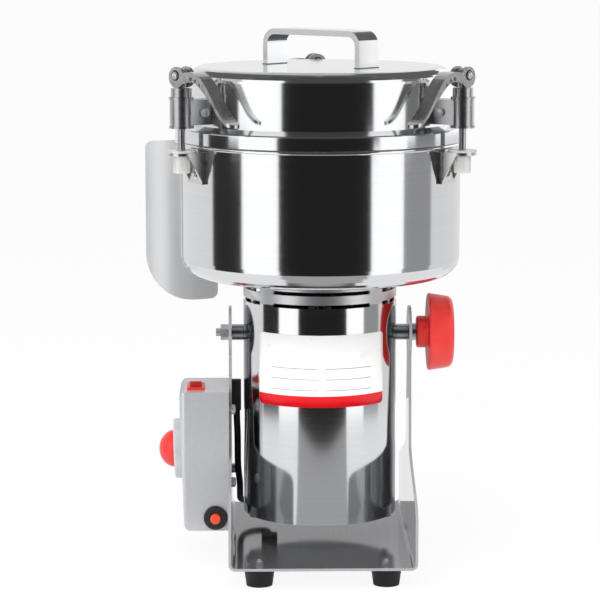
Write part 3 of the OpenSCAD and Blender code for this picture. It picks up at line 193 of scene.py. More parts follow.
def add(tree, kind, inputs=None, **settings):
    """Adds one node to a tree; an input is a value, a socket to link from, or a list of such sockets."""
    made = tree.nodes.new(kind)
    for name, value in settings.items():
        setattr(made, name, value)
    for name, value in (inputs or {}).items():
        for item in value if isinstance(value, list) else [value]:
            if isinstance(item, bpy.types.NodeSocket):
                tree.links.new(item, made.inputs[name])
            else:
                made.inputs[name].default_value = item
    return made


# Materials

MICROMETRE = 0.000001
NOISE_ENDS = (0.3, 0.7)


def linear(code):
    """Linear RGBA of an sRGB hex colour."""
    parts = [int(code[i:i + 2], 16) / 255 for i in (1, 3, 5)]
    return (*(c / 12.92 if c <= 0.04045 else ((c + 0.055) / 1.055) ** 2.4 for c in parts), 1.0)


def per_mm(x, y, z):
    """Texture scale for a pattern whose features are that many millimetres long on each axis."""
    return 1000.0 / x, 1000.0 / y, 1000.0 / z


def new_material(name):
    """An empty node material, with its tree and its output node."""
    material = bpy.data.materials.new(name)
    material.use_nodes = True
    tree = material.node_tree
    tree.nodes.clear()
    return material, tree, add(tree, "ShaderNodeOutputMaterial")


def finish(name, colours, roughness, grain, bump, **shader):
    """A finish whose colour and roughness drift between two ends with a grain, which also gives its relief.

    The grain is its length on each axis in millimetres, the bump its height in micrometres.
    """
    material, tree, output = new_material(name)
    place = add(tree, "ShaderNodeTexCoord").outputs["Object"]
    place = add(tree, "ShaderNodeMapping", {"Vector": place, "Scale": per_mm(*grain)}).outputs["Vector"]
    noise = add(tree, "ShaderNodeTexNoise", {"Vector": place, "Scale": 1.0, "Detail": 3.0}).outputs["Fac"]
    colour = add(tree, "ShaderNodeValToRGB", {"Fac": noise})
    for element, position, code in zip(colour.color_ramp.elements, NOISE_ENDS, colours):
        element.position = position
        element.color = linear(code)
    gloss = add(tree, "ShaderNodeMapRange", {
        "Value": noise, "From Min": NOISE_ENDS[0], "From Max": NOISE_ENDS[1],
        "To Min": roughness[0], "To Max": roughness[1]})
    relief = add(tree, "ShaderNodeBump", {"Height": noise, "Strength": 1.0, "Distance": bump * MICROMETRE})
    body = add(tree, "ShaderNodeBsdfPrincipled", {
        "Base Color": colour.outputs["Color"], "Roughness": gloss.outputs["Result"],
        "Normal": relief.outputs["Normal"], **shader})
    tree.links.new(body.outputs["BSDF"], output.inputs["Surface"])
    return material


# Drawn stainless, buffed to a mirror on a lathe: clear reflections with faint hairlines round the axis.
# The lines are drawn about 1 mm apart, coarser than real buffing marks, so that they show.
BUFFED = (("#D8D9DB", "#DCDDDF"), (0.10, 0.12), (160.0, 160.0, 1.0), 0.06)
mirror_steel = finish("mirror_buffed_stainless", *BUFFED, Metallic=1.0)

# The same steel round the motor, which is satin above the vents.
housing_steel = finish("mirror_buffed_stainless_housing", *BUFFED, Metallic=1.0)

# Stainless strap of the handle, polished by hand: clear reflections that waver a little.
polished_strap = finish(
    "hand_polished_stainless_strap", ("#DCDDDE", "#E6E7E8"), (0.12, 0.18), (12.0, 12.0, 40.0), 4.0,
    Metallic=1.0)

# Cold rolled stainless sheet of the guard, left as rolled: a pale, cloudy sheen with hardly an image.
rolled_sheet = finish(
    "cold_rolled_stainless_sheet", ("#C8C9CB", "#D1D2D4"), (0.36, 0.46), (30.0, 30.0, 60.0), 4.0,
    Metallic=0.45)

# Bent stainless sheet of the stand with a bright polish, which mirrors the motor in the base.
# Its brushing is drawn about 1 mm apart, coarser than the real grit, so that it shows.
bright_sheet = finish(
    "bright_polished_stainless_sheet", ("#B0B1B4", "#B9BABD"), (0.08, 0.12), (1.0, 60.0, 60.0), 0.1,
    Metallic=0.8)

# Stamped levers and hook brackets, nickel plated: pale, softly shining.
nickel_plate = finish(
    "nickel_plated_stampings", ("#CDCDCB", "#DADAD8"), (0.26, 0.34), (4.0, 4.0, 4.0), 1.0,
    Metallic=1.0)

# Turned barrels, bushes, rods and spacers of plain steel, and the saddles: grey, with a streak of light.
turned_steel = finish(
    "turned_plain_steel", ("#B0B1B4", "#BCBDC0"), (0.28, 0.36), (60.0, 60.0, 0.8), 0.5,
    Metallic=1.0)

# Zinc plated screws, nuts, rivets and studs, and the motor's shaft and bearings: bright but milky.
zinc_screws = finish(
    "zinc_plated_screws", ("#CACBCD", "#DADBDD"), (0.26, 0.36), (2.0, 2.0, 2.0), 5.0,
    Metallic=0.8)

# Weld bead of the handle, wire brushed: a greyer, rippled steel.
weld_steel = finish(
    "wire_brushed_weld", ("#9A9B9E", "#B6B7BA"), (0.34, 0.46), (1.0, 1.0, 1.0), 20.0,
    Metallic=1.0)

# Ground blade steel: scratches across the blade from the wheel.
ground_blade = finish(
    "ground_blade_steel", ("#B4B5B8", "#CBCCCE"), (0.18, 0.32), (1.2, 30.0, 30.0), 3.0,
    Metallic=1.0)

# Oiled plain steel of the motor's inner parts and covers: dark and blotchy. It also makes the rings of
# painted shade round the lever pins.
oiled_steel = finish(
    "oiled_plain_steel", ("#46474A", "#606165"), (0.35, 0.5), (6.0, 6.0, 6.0), 10.0,
    Metallic=1.0)

# Enamelled copper wire of the windings, and the commutator: warm, with the turns showing as fine ridges.
winding_copper = finish(
    "enamelled_copper_windings", ("#8A4B24", "#B56A36"), (0.3, 0.42), (60.0, 60.0, 1.1), 80.0,
    Metallic=1.0)

# Pressed carbon of the brushes: matt, near black.
brush_carbon = finish(
    "pressed_brush_carbon", ("#232324", "#313133"), (0.6, 0.75), (1.5, 1.5, 1.5), 10.0)

# Die-cast box with a silver lacquer full of metal flake: even on its faces, bright along its edges.
silver_lacquer = finish(
    "silver_flake_lacquer_on_casting", ("#C0C1C5", "#C8C9CD"), (0.18, 0.24), (0.8, 0.8, 0.8), 0.5,
    Metallic=0.38)

# Lacquered plate of the timer's dial: a pale satin.
dial_lacquer = finish(
    "satin_grey_lacquer_on_dial", ("#C6C7CB", "#CFD0D3"), (0.3, 0.4), (1.0, 1.0, 1.0), 2.0,
    Metallic=0.25)

# Moulded red ABS of the knobs and the switch's housing: glossy, with a slight orange peel from the mould.
red_abs = finish(
    "moulded_red_abs", ("#E02D28", "#E53731"), (0.3, 0.38), (9.0, 9.0, 9.0), 30.0,
    IOR=1.53)

# Clear red polycarbonate of the rocker: dark, because light sinks into it.
deep_red = finish(
    "moulded_deep_red_polycarbonate", ("#A81C1C", "#B42322"), (0.2, 0.28), (6.0, 6.0, 6.0), 10.0,
    IOR=1.58)

# Orange-red ABS of the reset button: a soft gloss.
orange_abs = finish(
    "moulded_orange_abs", ("#EA4522", "#F05230"), (0.28, 0.36), (3.0, 3.0, 3.0), 10.0,
    IOR=1.53)

# Moulded black nylon of the breaker, the gland, the fan and the timer's body: satin, finely textured.
black_nylon = finish(
    "moulded_black_nylon", ("#171719", "#222225"), (0.34, 0.46), (1.2, 1.2, 1.2), 10.0,
    IOR=1.53)

# Black rubber of the feet, the seal, and the lead with its grommet and boot: dull, with a dusty bloom.
black_rubber = finish(
    "moulded_black_rubber", ("#121213", "#1F1F21"), (0.5, 0.68), (3.0, 3.0, 3.0), 20.0,
    IOR=1.52)

# Milky polythene of the clamp cups: light passes through the thin walls.
milky_polythene = finish(
    "moulded_milky_polythene", ("#F4F4F2", "#FAFAF8"), (0.18, 0.28), (4.0, 4.0, 4.0), 10.0,
    **{"IOR": 1.5, "Transmission Weight": 0.5})

# White silicone of the lid's gasket: soft sheen.
white_silicone = finish(
    "moulded_white_silicone", ("#E9E9E5", "#F2F2EE"), (0.4, 0.52), (5.0, 5.0, 5.0), 10.0,
    IOR=1.41)

# Printed polyester film of the label: white with a faint gloss.
white_film = finish(
    "white_polyester_film", ("#F8F8F7", "#FCFCFB"), (0.26, 0.34), (12.0, 12.0, 12.0), 3.0,
    IOR=1.5)

# Inks of the label, the dial and the red plastics: even and nearly flat.
red_ink = finish(
    "red_ink_printed_on_film", ("#E20F19", "#E71721"), (0.28, 0.36), (12.0, 12.0, 12.0), 3.0,
    **{"IOR": 1.5, "Specular IOR Level": 0.3})
grey_ink = finish(
    "grey_ink_printed_on_film", ("#8C8D91", "#9A9B9F"), (0.3, 0.4), (4.0, 4.0, 4.0), 3.0,
    IOR=1.5)
black_ink = finish(
    "black_ink_printed_on_metal", ("#1B1B1D", "#27272A"), (0.35, 0.45), (4.0, 4.0, 4.0), 3.0,
    IOR=1.5)
white_ink = finish(
    "white_ink_printed_on_plastic", ("#EFEFEC", "#F7F7F5"), (0.35, 0.45), (4.0, 4.0, 4.0), 3.0,
    IOR=1.5)

# Cut edges of the stand: how far they face the front or the back, and their duller finish
EDGE_FACING = (0.2, 0.3)
EDGE_ROUGHNESS = 0.5
EDGE_METALLIC = 0.3


def vary(material, driver, limits, **ends):
    """Takes a finish from its own values to other ends as a driver passes between two limits."""
    tree = material.node_tree
    body = next(item for item in tree.nodes if item.type == "BSDF_PRINCIPLED")
    for name, end in ends.items():
        socket = body.inputs[name]
        own = socket.links[0].from_socket if socket.links else socket.default_value
        blend = add(tree, "ShaderNodeMapRange", {
            "Value": driver, "From Min": limits[0], "From Max": limits[1], "To Min": own, "To Max": end})
        tree.links.new(blend.outputs["Result"], socket)


def mat_cut_edges(material):
    """Greys the cut edges of an upright sheet: only they face the front or the back."""
    tree = material.node_tree
    facing = add(tree, "ShaderNodeNewGeometry").outputs["Normal"]
    facing = add(tree, "ShaderNodeSeparateXYZ", {"Vector": facing}).outputs["Y"]
    facing = add(tree, "ShaderNodeMath", {0: facing}, operation="ABSOLUTE").outputs[0]
    vary(material, facing, EDGE_FACING, Roughness=EDGE_ROUGHNESS, Metallic=EDGE_METALLIC)


def satin_neck(material):
    """Dulls the housing above its lower row of vents, where the buffing wheel doesn't reach."""
    tree = material.node_tree
    place = add(tree, "ShaderNodeTexCoord").outputs["Object"]
    rise = add(tree, "ShaderNodeSeparateXYZ", {"Vector": place}).outputs["Z"]
    vary(material, rise, (VENT_Z - NECK_BLEND, VENT_Z + NECK_BLEND), Roughness=NECK_ROUGHNESS)


mat_cut_edges(bright_sheet)
satin_neck(housing_steel)

FINISHES = (
    (mirror_steel, "bowl lid_shell"),
    (housing_steel, "motor_housing"),
    (polished_strap, "lid_handle"),
    (rolled_sheet, "powder_guard"),
    (bright_sheet, "stand_frame"),
    (nickel_plate, "hook_brackets clamp_lever_left clamp_lever_right clamp_lever_back"),
    (turned_steel, "clamp_saddles clamp_barrels clamp_bushes clamp_rod_left clamp_rod_right clamp_rod_back "
                   "pivot_spacers"),
    (zinc_screws, "foot_fasteners box_screws through_bolts pivot_studs pivot_nut bowl_screws bowl_rivets "
                  "saddle_screws motor_shaft upper_bearing lower_bearing blade_spacers blade_nut"),
    (ground_blade, "lower_blade middle_blade upper_blade"),
    (oiled_steel, "motor_top_plate motor_bottom_cover stator_core brush_holders rotor_core"),
    (winding_copper, "stator_windings commutator"),
    (brush_carbon, "carbon_brushes"),
    (silver_lacquer, "control_box"),
    (dial_lacquer, "timer_dial"),
    (red_abs, "lock_knob timer_knob switch_housing"),
    (deep_red, "rocker"),
    (orange_abs, "reset_button"),
    (black_nylon, "timer_body breaker_body cord_gland cooling_fan"),
    (black_rubber, "rubber_feet lead_grommet lead_boot shaft_seal"),
    (milky_polythene, "clamp_cups"),
    (white_silicone, "lid_gasket"),
)
for material, names in FINISHES:
    for name in names.split():
        NODES[name].data.materials.clear()
        NODES[name].data.materials.append(material)


# Meshes

def mesh_object(name, mesh, *materials):
    """Links a mesh as an object at the origin, with its materials."""
    for material in materials:
        mesh.materials.append(material)
    obj = bpy.data.objects.new(name, mesh)
    scene.collection.objects.link(obj)
    return obj


def shape_object(name, shape, *materials):
    """Turns a bmesh into an object and frees it."""
    mesh = bpy.data.meshes.new(name)
    shape.to_mesh(mesh)
    shape.free()
    return mesh_object(name, mesh, *materials)


def closed_object(name, shape, *materials):
    """Turns a bmesh of closed shells into an object, with its faces outwards."""
    bmesh.ops.recalc_face_normals(shape, faces=shape.faces)
    return shape_object(name, shape, *materials)


def plain_mesh(obj):
    """The mesh that an object's modifier or curve comes to."""
    return bpy.data.meshes.new_from_object(obj.evaluated_get(bpy.context.evaluated_depsgraph_get()))


def curve_mesh(curve):
    """Plain mesh of a curve or a text."""
    line = bpy.data.objects.new(curve.name, curve)
    scene.collection.objects.link(line)
    mesh = plain_mesh(line)
    bpy.data.objects.remove(line)
    return mesh


def span_rows(shape, rows, closed=False):
    """Spans neighbouring rows of points with faces, and returns these; a closed row is a loop."""
    count = len(rows[0])
    faces = []
    for left, right in zip(rows, rows[1:]):
        for k in range(count if closed else count - 1):
            after = (k + 1) % count
            faces.append(shape.faces.new((left[k], left[after], right[after], right[k])))
    return faces


def turn_profile(shape, place, profile, closed=False, smooth=False):
    """Turns a profile of radius and height round the Z axis of a place, and returns its rows of points."""
    rows = []
    for i in range(ROUND_STEPS):
        turn = place @ Matrix.Rotation(2 * math.pi * i / ROUND_STEPS, 4, "Z")
        rows.append([shape.verts.new(turn @ Vector((r, 0.0, z))) for r, z in profile])
    for face in span_rows(shape, rows + rows[:1], closed):
        face.smooth = smooth
    return rows


def fit(piece, body):
    """Sets a finished piece on its body."""
    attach(piece, body)


# Geometry trees

def point_mesh(name, points):
    """Mesh of loose points, each with the direction that it faces."""
    mesh = bpy.data.meshes.new(name)
    mesh.from_pydata([place for place, facing in points], [], [])
    facings = mesh.attributes.new("facing", "FLOAT_VECTOR", "POINT")
    for item, (place, facing) in zip(facings.data, points):
        item.vector = facing
    return mesh


def geometry_tree(name, **sizes):
    """A geometry tree with named size inputs, and its input node."""
    tree = bpy.data.node_groups.new(name, "GeometryNodeTree")
    tree.interface.new_socket("Geometry", in_out="INPUT", socket_type="NodeSocketGeometry")
    for size, kind in sizes.items():
        tree.interface.new_socket(size, in_out="INPUT", socket_type="NodeSocket" + kind)
    tree.interface.new_socket("Material", in_out="INPUT", socket_type="NodeSocketMaterial")
    tree.interface.new_socket("Geometry", in_out="OUTPUT", socket_type="NodeSocketGeometry")
    return tree, add(tree, "NodeGroupInput")


def close_tree(tree, entry, instances):
    """Ends a geometry tree: real geometry with the material that was given."""
    real = add(tree, "GeometryNodeRealizeInstances", {"Geometry": instances}).outputs[0]
    real = add(tree, "GeometryNodeSetMaterial", {"Geometry": real, "Material": entry.outputs["Material"]})
    add(tree, "NodeGroupOutput", {"Geometry": real.outputs[0]})
    return tree


def grow(name, tree, source, material, place=Matrix(), **sizes):
    """Runs a geometry tree on a source mesh and keeps the result as a plain mesh at the origin."""
    obj = mesh_object(name, source)
    modifier = obj.modifiers.new("shape", "NODES")
    modifier.node_group = tree
    sizes["Material"] = material
    for item in tree.interface.items_tree:
        if item.in_out == "INPUT" and item.name in sizes:
            modifier[item.identifier] = sizes[item.name]
    shape = plain_mesh(obj)
    obj.modifiers.remove(modifier)
    shape.transform(place)
    obj.data = shape
    return obj


def screw_head_tree():
    """Domed screw head with a cross recess on every point, facing as the point does."""
    tree, entry = geometry_tree("screw_heads", Diameter="Float", Height="Float", Slot="Float")
    diameter = entry.outputs["Diameter"]
    height = entry.outputs["Height"]
    slot = entry.outputs["Slot"]
    radius = add(tree, "ShaderNodeMath", {0: diameter, 1: 0.5}, operation="MULTIPLY").outputs[0]
    squash = add(tree, "ShaderNodeMath", {0: height, 1: radius}, operation="DIVIDE").outputs[0]
    scale = add(tree, "ShaderNodeCombineXYZ", {"X": 1.0, "Y": 1.0, "Z": squash}).outputs[0]
    dome = add(tree, "GeometryNodeMeshUVSphere", {"Segments": 24, "Rings": 12, "Radius": radius})
    dome = add(tree, "GeometryNodeTransform", {"Geometry": dome.outputs["Mesh"], "Scale": scale})
    length = add(tree, "ShaderNodeMath", {0: diameter, 1: RECESS_LENGTH}, operation="MULTIPLY").outputs[0]
    lift = add(tree, "ShaderNodeCombineXYZ", {"Z": height}).outputs[0]
    bars = []
    for x, y in ((length, slot), (slot, length)):
        size = add(tree, "ShaderNodeCombineXYZ", {"X": x, "Y": y, "Z": height}).outputs[0]
        bar = add(tree, "GeometryNodeMeshCube", {"Size": size}).outputs["Mesh"]
        bar = add(tree, "GeometryNodeTransform", {"Geometry": bar, "Translation": lift}).outputs[0]
        bars.append(bar)
    head = add(tree, "GeometryNodeMeshBoolean", {"Mesh 1": dome.outputs[0], "Mesh 2": bars},
               operation="DIFFERENCE")
    facing = add(tree, "GeometryNodeInputNamedAttribute", {"Name": "facing"}, data_type="FLOAT_VECTOR")
    turn = add(tree, "FunctionNodeAlignRotationToVector", {"Vector": facing.outputs["Attribute"]}, axis="Z")
    heads = add(tree, "GeometryNodeInstanceOnPoints", {
        "Points": entry.outputs["Geometry"], "Instance": head.outputs["Mesh"], "Rotation": turn.outputs[0]})
    return close_tree(tree, entry, heads.outputs[0])


def ray_tree():
    """Bars set round the Z axis like rays, over a sweep that starts at +X."""
    tree, entry = geometry_tree("rays", Count="Int", Inner="Float", Outer="Float", Width="Float",
                                Depth="Float", Sweep="Float")
    count = entry.outputs["Count"]
    inner = entry.outputs["Inner"]
    outer = entry.outputs["Outer"]
    length = add(tree, "ShaderNodeMath", {0: outer, 1: inner}, operation="SUBTRACT").outputs[0]
    middle = add(tree, "ShaderNodeMath", {0: length, 1: 0.5, 2: inner}, operation="MULTIPLY_ADD").outputs[0]
    size = add(tree, "ShaderNodeCombineXYZ", {
        "X": length, "Y": entry.outputs["Width"], "Z": entry.outputs["Depth"]}).outputs[0]
    reach = add(tree, "ShaderNodeCombineXYZ", {"X": middle}).outputs[0]
    bar = add(tree, "GeometryNodeMeshCube", {"Size": size}).outputs["Mesh"]
    bar = add(tree, "GeometryNodeTransform", {"Geometry": bar, "Translation": reach}).outputs[0]
    points = add(tree, "GeometryNodeMeshLine", {
        "Count": count, "Start Location": (0.0, 0.0, 0.0), "Offset": (0.0, 0.0, 0.0)})
    index = add(tree, "GeometryNodeInputIndex").outputs[0]
    steps = add(tree, "ShaderNodeMath", {0: count, 1: 1.0}, operation="SUBTRACT").outputs[0]
    share = add(tree, "ShaderNodeMath", {0: index, 1: steps}, operation="DIVIDE").outputs[0]
    angle = add(tree, "ShaderNodeMath", {0: share, 1: entry.outputs["Sweep"]}, operation="MULTIPLY")
    turn = add(tree, "ShaderNodeCombineXYZ", {"Z": angle.outputs[0]}).outputs[0]
    rays = add(tree, "GeometryNodeInstanceOnPoints", {
        "Points": points.outputs["Mesh"], "Instance": bar, "Rotation": turn})
    return close_tree(tree, entry, rays.outputs[0])


def bead_tree():
    """Overlapping round beads along every edge path of the source, as a weld lies."""
    tree, entry = geometry_tree("weld_beads", Diameter="Float", Step="Float")
    radius = add(tree, "ShaderNodeMath", {0: entry.outputs["Diameter"], 1: 0.5}, operation="MULTIPLY")
    bead = add(tree, "GeometryNodeMeshIcoSphere", {"Radius": radius.outputs[0], "Subdivisions": 2})
    bead = add(tree, "GeometryNodeSetShadeSmooth", {"Geometry": bead.outputs["Mesh"]})
    path = add(tree, "GeometryNodeMeshToCurve", {"Mesh": entry.outputs["Geometry"]})
    points = add(tree, "GeometryNodeResampleCurve", {
        "Curve": path.outputs[0], "Length": entry.outputs["Step"]}, mode="LENGTH")
    beads = add(tree, "GeometryNodeInstanceOnPoints", {
        "Points": points.outputs[0], "Instance": bead.outputs[0], "Scale": (1.0, 1.0, BEAD_FLATNESS)})
    return close_tree(tree, entry, beads.outputs[0])


# Label

def add_strip(shape, radius, span, heights, thickness, steps, split=None):
    """Adds a closed curved strip on the housing; heights gives its foot and top at a place along the arc.

    Faces below the split height take the second material.
    """
    rows = []
    for i in range(steps + 1):
        # columns crowd towards the ends, where corners turn
        along = span[0] + (span[1] - span[0]) * (0.5 - 0.5 * math.cos(math.pi * i / steps))
        turn = along / radius
        foot, top = heights(along)
        levels = (foot, max(foot, split), top) if split else (foot, top)
        outline = [(radius, z) for z in levels] + [(radius - thickness, z) for z in reversed(levels)]
        rows.append([shape.verts.new((r * math.sin(turn), -r * math.cos(turn), z)) for r, z in outline])
    count = len(rows[0])
    thin_edges = (count // 2 - 1, count - 1)
    below_split = (0, count - 2, count - 1) if split else ()
    for i, face in enumerate(span_rows(shape, rows, closed=True)):
        face.smooth = i % count not in thin_edges
        face.material_index = 1 if i % count in below_split else 0
    for row in (rows[0], rows[-1]):
        shape.faces.new(row)


def make_label():
    """White film on the housing's front: rounded corners, a red band at its foot and blank ruled fields."""
    low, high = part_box("label_plate")
    radius = -low[1]
    half = radius * LABEL_HALF_ANGLE

    def film_heights(along):
        past = max(0.0, abs(along) - (half - LABEL_CORNER))
        drop = LABEL_CORNER - math.sqrt(max(0.0, LABEL_CORNER ** 2 - past ** 2))
        return low[2] + drop, high[2] - drop

    shape = bmesh.new()
    add_strip(shape, radius, (-half, half), film_heights, LABEL_T, LABEL_STEPS, low[2] + LABEL_BAND)
    label = closed_object("label_film", shape, white_film, red_ink)
    fit(label, "motor_unit")
    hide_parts("label_plate")

    shape = bmesh.new()
    for rise in FIELD_ZS:
        foot = low[2] + rise
        for span in FIELD_SPANS:
            add_strip(shape, radius + FIELD_T, span, lambda along: (foot, foot + FIELD_H), 2 * FIELD_T,
                      FIELD_STEPS)
    fit(closed_object("label_blank_fields", shape, grey_ink), "motor_unit")


# Motor lead

def make_lead():
    """Round rubber lead on a smooth curve through its route."""
    curve = bpy.data.curves.new("motor_lead_line", "CURVE")
    curve.dimensions = "3D"
    spline = curve.splines.new("NURBS")
    spline.points.add(len(LEAD_ROUTE) - 1)
    for point, place in zip(spline.points, LEAD_ROUTE):
        point.co = (*place, 1.0)
    spline.order_u = 3
    spline.use_endpoint_u = True
    spline.resolution_u = 8
    curve.bevel_depth = LEAD_D / 2
    curve.bevel_resolution = 5
    curve.use_fill_caps = True
    lead = mesh_object("rubber_motor_lead", curve_mesh(curve), black_rubber)
    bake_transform(lead)
    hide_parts("motor_lead")


# Screw heads

def around(radius, z, azimuths, facing):
    """Points round the motor's axis that all face one way."""
    turns = [math.radians(azimuth) for azimuth in azimuths]
    return [((radius * math.cos(turn), radius * math.sin(turn), z), facing) for turn in turns]


def saddle_screw_points():
    """Both ends of each clamp's saddle screw, facing along the screw."""
    low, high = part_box("saddle_screws")
    middle_z = (low[2] + high[2]) / 2
    points = []
    for joint in LEVER_JOINTS:
        out = Vector((*joint["pos_m"][:2], 0.0)).normalized()
        along = Vector((-out.y, out.x, 0.0))
        for side in (-1, 1):
            place = out * SADDLE_SCREW_R + along * side * SADDLE_SCREW_OUT
            points.append(((place.x, place.y, middle_z), along * side))
    return points


def make_screw_heads():
    """Domed, crossed heads over the plain heads of the solids."""
    tree = screw_head_tree()
    box_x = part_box("box_screws")[1][0]
    foot_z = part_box("foot_fasteners")[0][2]
    bowl_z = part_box("bowl_screws")[1][2]
    bolt_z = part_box("through_bolts")[0][2]
    box_points = [((box_x, side * BOX_SCREW_Y, z), RIGHT) for side in (-1, 1) for z in BOX_SCREW_ZS]
    foot_points = [((x, y, foot_z), DOWN) for x in (-FOOT_X, FOOT_X) for y in (-FOOT_Y, FOOT_Y)]
    bowl_points = around(BOWL_SCREW_R, bowl_z, BOWL_SCREW_AZIMUTHS, UP)
    bolt_points = around(BOLT_R, bolt_z, BOLT_AZIMUTHS, DOWN)
    for name, body, points, diameter in (
            ("saddle_screw_heads", "lid", saddle_screw_points(), SADDLE_HEAD_D),
            ("box_screw_heads", "stand", box_points, BOX_HEAD_D),
            ("foot_screw_heads", "stand", foot_points, FOOT_HEAD_D),
            ("bowl_screw_heads", "motor_unit", bowl_points, BOWL_HEAD_D),
            ("bolt_heads", "motor_unit", bolt_points, BOLT_HEAD_D)):
        heads = grow(name, tree, point_mesh(name, points), zinc_screws,
                     Diameter=diameter, Height=diameter * HEAD_RISE, Slot=diameter * RECESS_WIDTH)
        fit(heads, body)


# Handle weld

def make_weld():
    """Weld bead round both feet of the handle."""
    lid_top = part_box("lid_shell")[1][2]
    half_t = HANDLE_T / 2
    half_w = HANDLE_W / 2
    foot = ((-half_t, -half_w), (half_t, -half_w), (half_t, half_w), (-half_t, half_w))
    corners = [(side * HANDLE_SPAN / 2 + x, y, lid_top) for side in (-1, 1) for x, y in foot]
    edges = [(first + i, first + (i + 1) % 4) for first in (0, 4) for i in range(4)]
    mesh = bpy.data.meshes.new("handle_weld")
    mesh.from_pydata(corners, edges, [])
    mesh.transform(Matrix.Rotation(HANDLE_TURN, 4, "Z"))
    weld = grow("handle_weld", bead_tree(), mesh, weld_steel, Diameter=BEAD_D, Step=BEAD_STEP)
    fit(weld, "lid")


# Timer dial and knob

def timer_frame(rise=0.0):
    """Frame on the timer, lifted off the box: X to the right and Y up as one looks at it, Z outwards."""
    outwards = -Vector(TIMER["axis"])
    right = Vector((0.0, -1.0, 0.0))
    axes = Matrix((right, outwards.cross(right), outwards)).transposed()
    return Matrix.Translation(TIMER["pos_m"]) @ axes.to_4x4() @ Matrix.Translation((0.0, 0.0, rise))


def make_dial_ticks(rays):
    """A tick on the dial for each minute, from the top and clockwise."""
    place = timer_frame(DIAL_FACE) @ Matrix.Rotation(math.radians(90.0), 4, "Z")
    ticks = grow("dial_ticks", rays, bpy.data.meshes.new("dial_ticks"), black_ink, place,
                 Count=TIMER_MINUTES + 1, Inner=DIAL_TICKS[0], Outer=DIAL_TICKS[1], Width=DIAL_TICK_W,
                 Depth=INK_T, Sweep=-math.radians(TIMER_SWEEP))
    fit(ticks, "stand")


def make_dial_numbers():
    """Upright numbers inside the ticks."""
    shape = bmesh.new()
    for minute in range(0, TIMER_MINUTES + 1, NUMBER_EVERY):
        text = bpy.data.curves.new("minute", "FONT")
        text.body = str(minute)
        text.size = DIAL_NUMBER_H
        text.align_x = "CENTER"
        text.align_y = "CENTER"
        text.extrude = INK_T / 2
        mesh = curve_mesh(text)
        angle = math.radians(90.0 - TIMER_SWEEP * minute / TIMER_MINUTES)
        spot = Matrix.Translation((DIAL_NUMBER_R * math.cos(angle), DIAL_NUMBER_R * math.sin(angle), 0.0))
        mesh.transform(timer_frame(DIAL_FACE) @ spot)
        shape.from_mesh(mesh)
    fit(shape_object("dial_numbers", shape, black_ink), "stand")


def make_knob_index():
    """Inlaid line down the domed knob."""
    half = INDEX_W / 2
    outline = ((-half, INDEX_PROUD), (half, INDEX_PROUD), (half, -INDEX_SUNK), (-half, -INDEX_SUNK))
    shape = bmesh.new()
    rows = []
    for i in range(INDEX_STEPS + 1):
        angle = INDEX_ANGLES[0] + (INDEX_ANGLES[1] - INDEX_ANGLES[0]) * i / INDEX_STEPS
        rows.append([
            shape.verts.new((x, (DOME_R + lift) * math.cos(angle), (DOME_H + lift) * math.sin(angle)))
            for x, lift in outline])
    span_rows(shape, rows, closed=True)
    for row in (rows[0], rows[-1]):
        shape.faces.new(row)
    bmesh.ops.transform(shape, matrix=timer_frame(DOME_FOOT), verts=shape.verts)
    fit(closed_object("timer_knob_index", shape, white_ink), "timer_knob")


# Rocker marks and gland ribs

def make_rocker_marks():
    """A ring on the rocker's front face and a bar on its back face."""
    rest = Matrix.Translation(ROCKER["pos_m"]) @ Matrix.Rotation(ROCKER_TILT, 4, "X")
    front, back = (
        rest @ Matrix.Translation((0.0, side * ROCKER_FACE_Y, ROCKER_FACE_Z))
        @ Matrix.Rotation(side * ROCKER_SLOPE, 4, "X") for side in (-1, 1))
    shape = bmesh.new()
    half = INK_T / 2
    rim = ((ROCKER_MARK_R, -half), (ROCKER_MARK_R, half))
    bore = ((ROCKER_RING_BORE, half), (ROCKER_RING_BORE, -half))
    turn_profile(shape, front, rim + bore, closed=True)
    bar = Matrix.Diagonal((ROCKER_BAR_W, 2 * ROCKER_MARK_R, INK_T, 1.0))
    bmesh.ops.create_cube(shape, size=1.0, matrix=back @ bar)
    fit(closed_object("rocker_marks", shape, white_ink), "rocker")


def make_gland_ribs(rays):
    """Grip ribs round the gland's cap."""
    low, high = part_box("cord_gland")
    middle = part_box("control_box")[1][1] + (GLAND_RIB_SPAN[0] + GLAND_RIB_SPAN[1]) / 2
    place = Matrix.Translation(((low[0] + high[0]) / 2, middle, (low[2] + high[2]) / 2))
    place = place @ Matrix.Rotation(math.radians(-90.0), 4, "X")
    ribs = grow("gland_ribs", rays, bpy.data.meshes.new("gland_ribs"), black_nylon, place,
                Count=GLAND_RIBS + 1, Inner=GLAND_RIB_INNER, Outer=GLAND_RIB_OUTER, Width=GLAND_RIB_W,
                Depth=GLAND_RIB_SPAN[1] - GLAND_RIB_SPAN[0], Sweep=2 * math.pi)
    fit(ribs, "stand")


# Lever pins

def make_pin_ends():
    """Bright riveted end, and a dark ring of painted shade round it where a groove would be, on both ends
    of each lever's pin.
    """
    for joint in LEVER_JOINTS:
        ends = bmesh.new()
        shade_rings = bmesh.new()
        for side in (1, -1):
            turn = (Vector(joint["axis"]) * side).to_track_quat("Z", "Y")
            place = Matrix.Translation(joint["pos_m"]) @ turn.to_matrix().to_4x4()
            rows = turn_profile(ends, place, PIN_END, smooth=True)
            for k in (0, -1):
                ends.faces.new([row[k] for row in rows])
            # thin dark ring of oiled steel: painted shade standing for the groove round the pin
            turn_profile(shade_rings, place, PIN_SHADE_RING, closed=True, smooth=True)
        body = joint["child"]
        fit(closed_object("pin_ends_" + body, ends, zinc_screws), body)
        fit(closed_object("pin_shade_rings_" + body, shade_rings, oiled_steel), body)


make_label()
make_lead()
make_screw_heads()
make_weld()
rays = ray_tree()
make_dial_ticks(rays)
make_dial_numbers()
make_knob_index()
make_rocker_marks()
make_gland_ribs(rays)
make_pin_ends()


# Studio: floor, cards that the steel reflects, and lamps

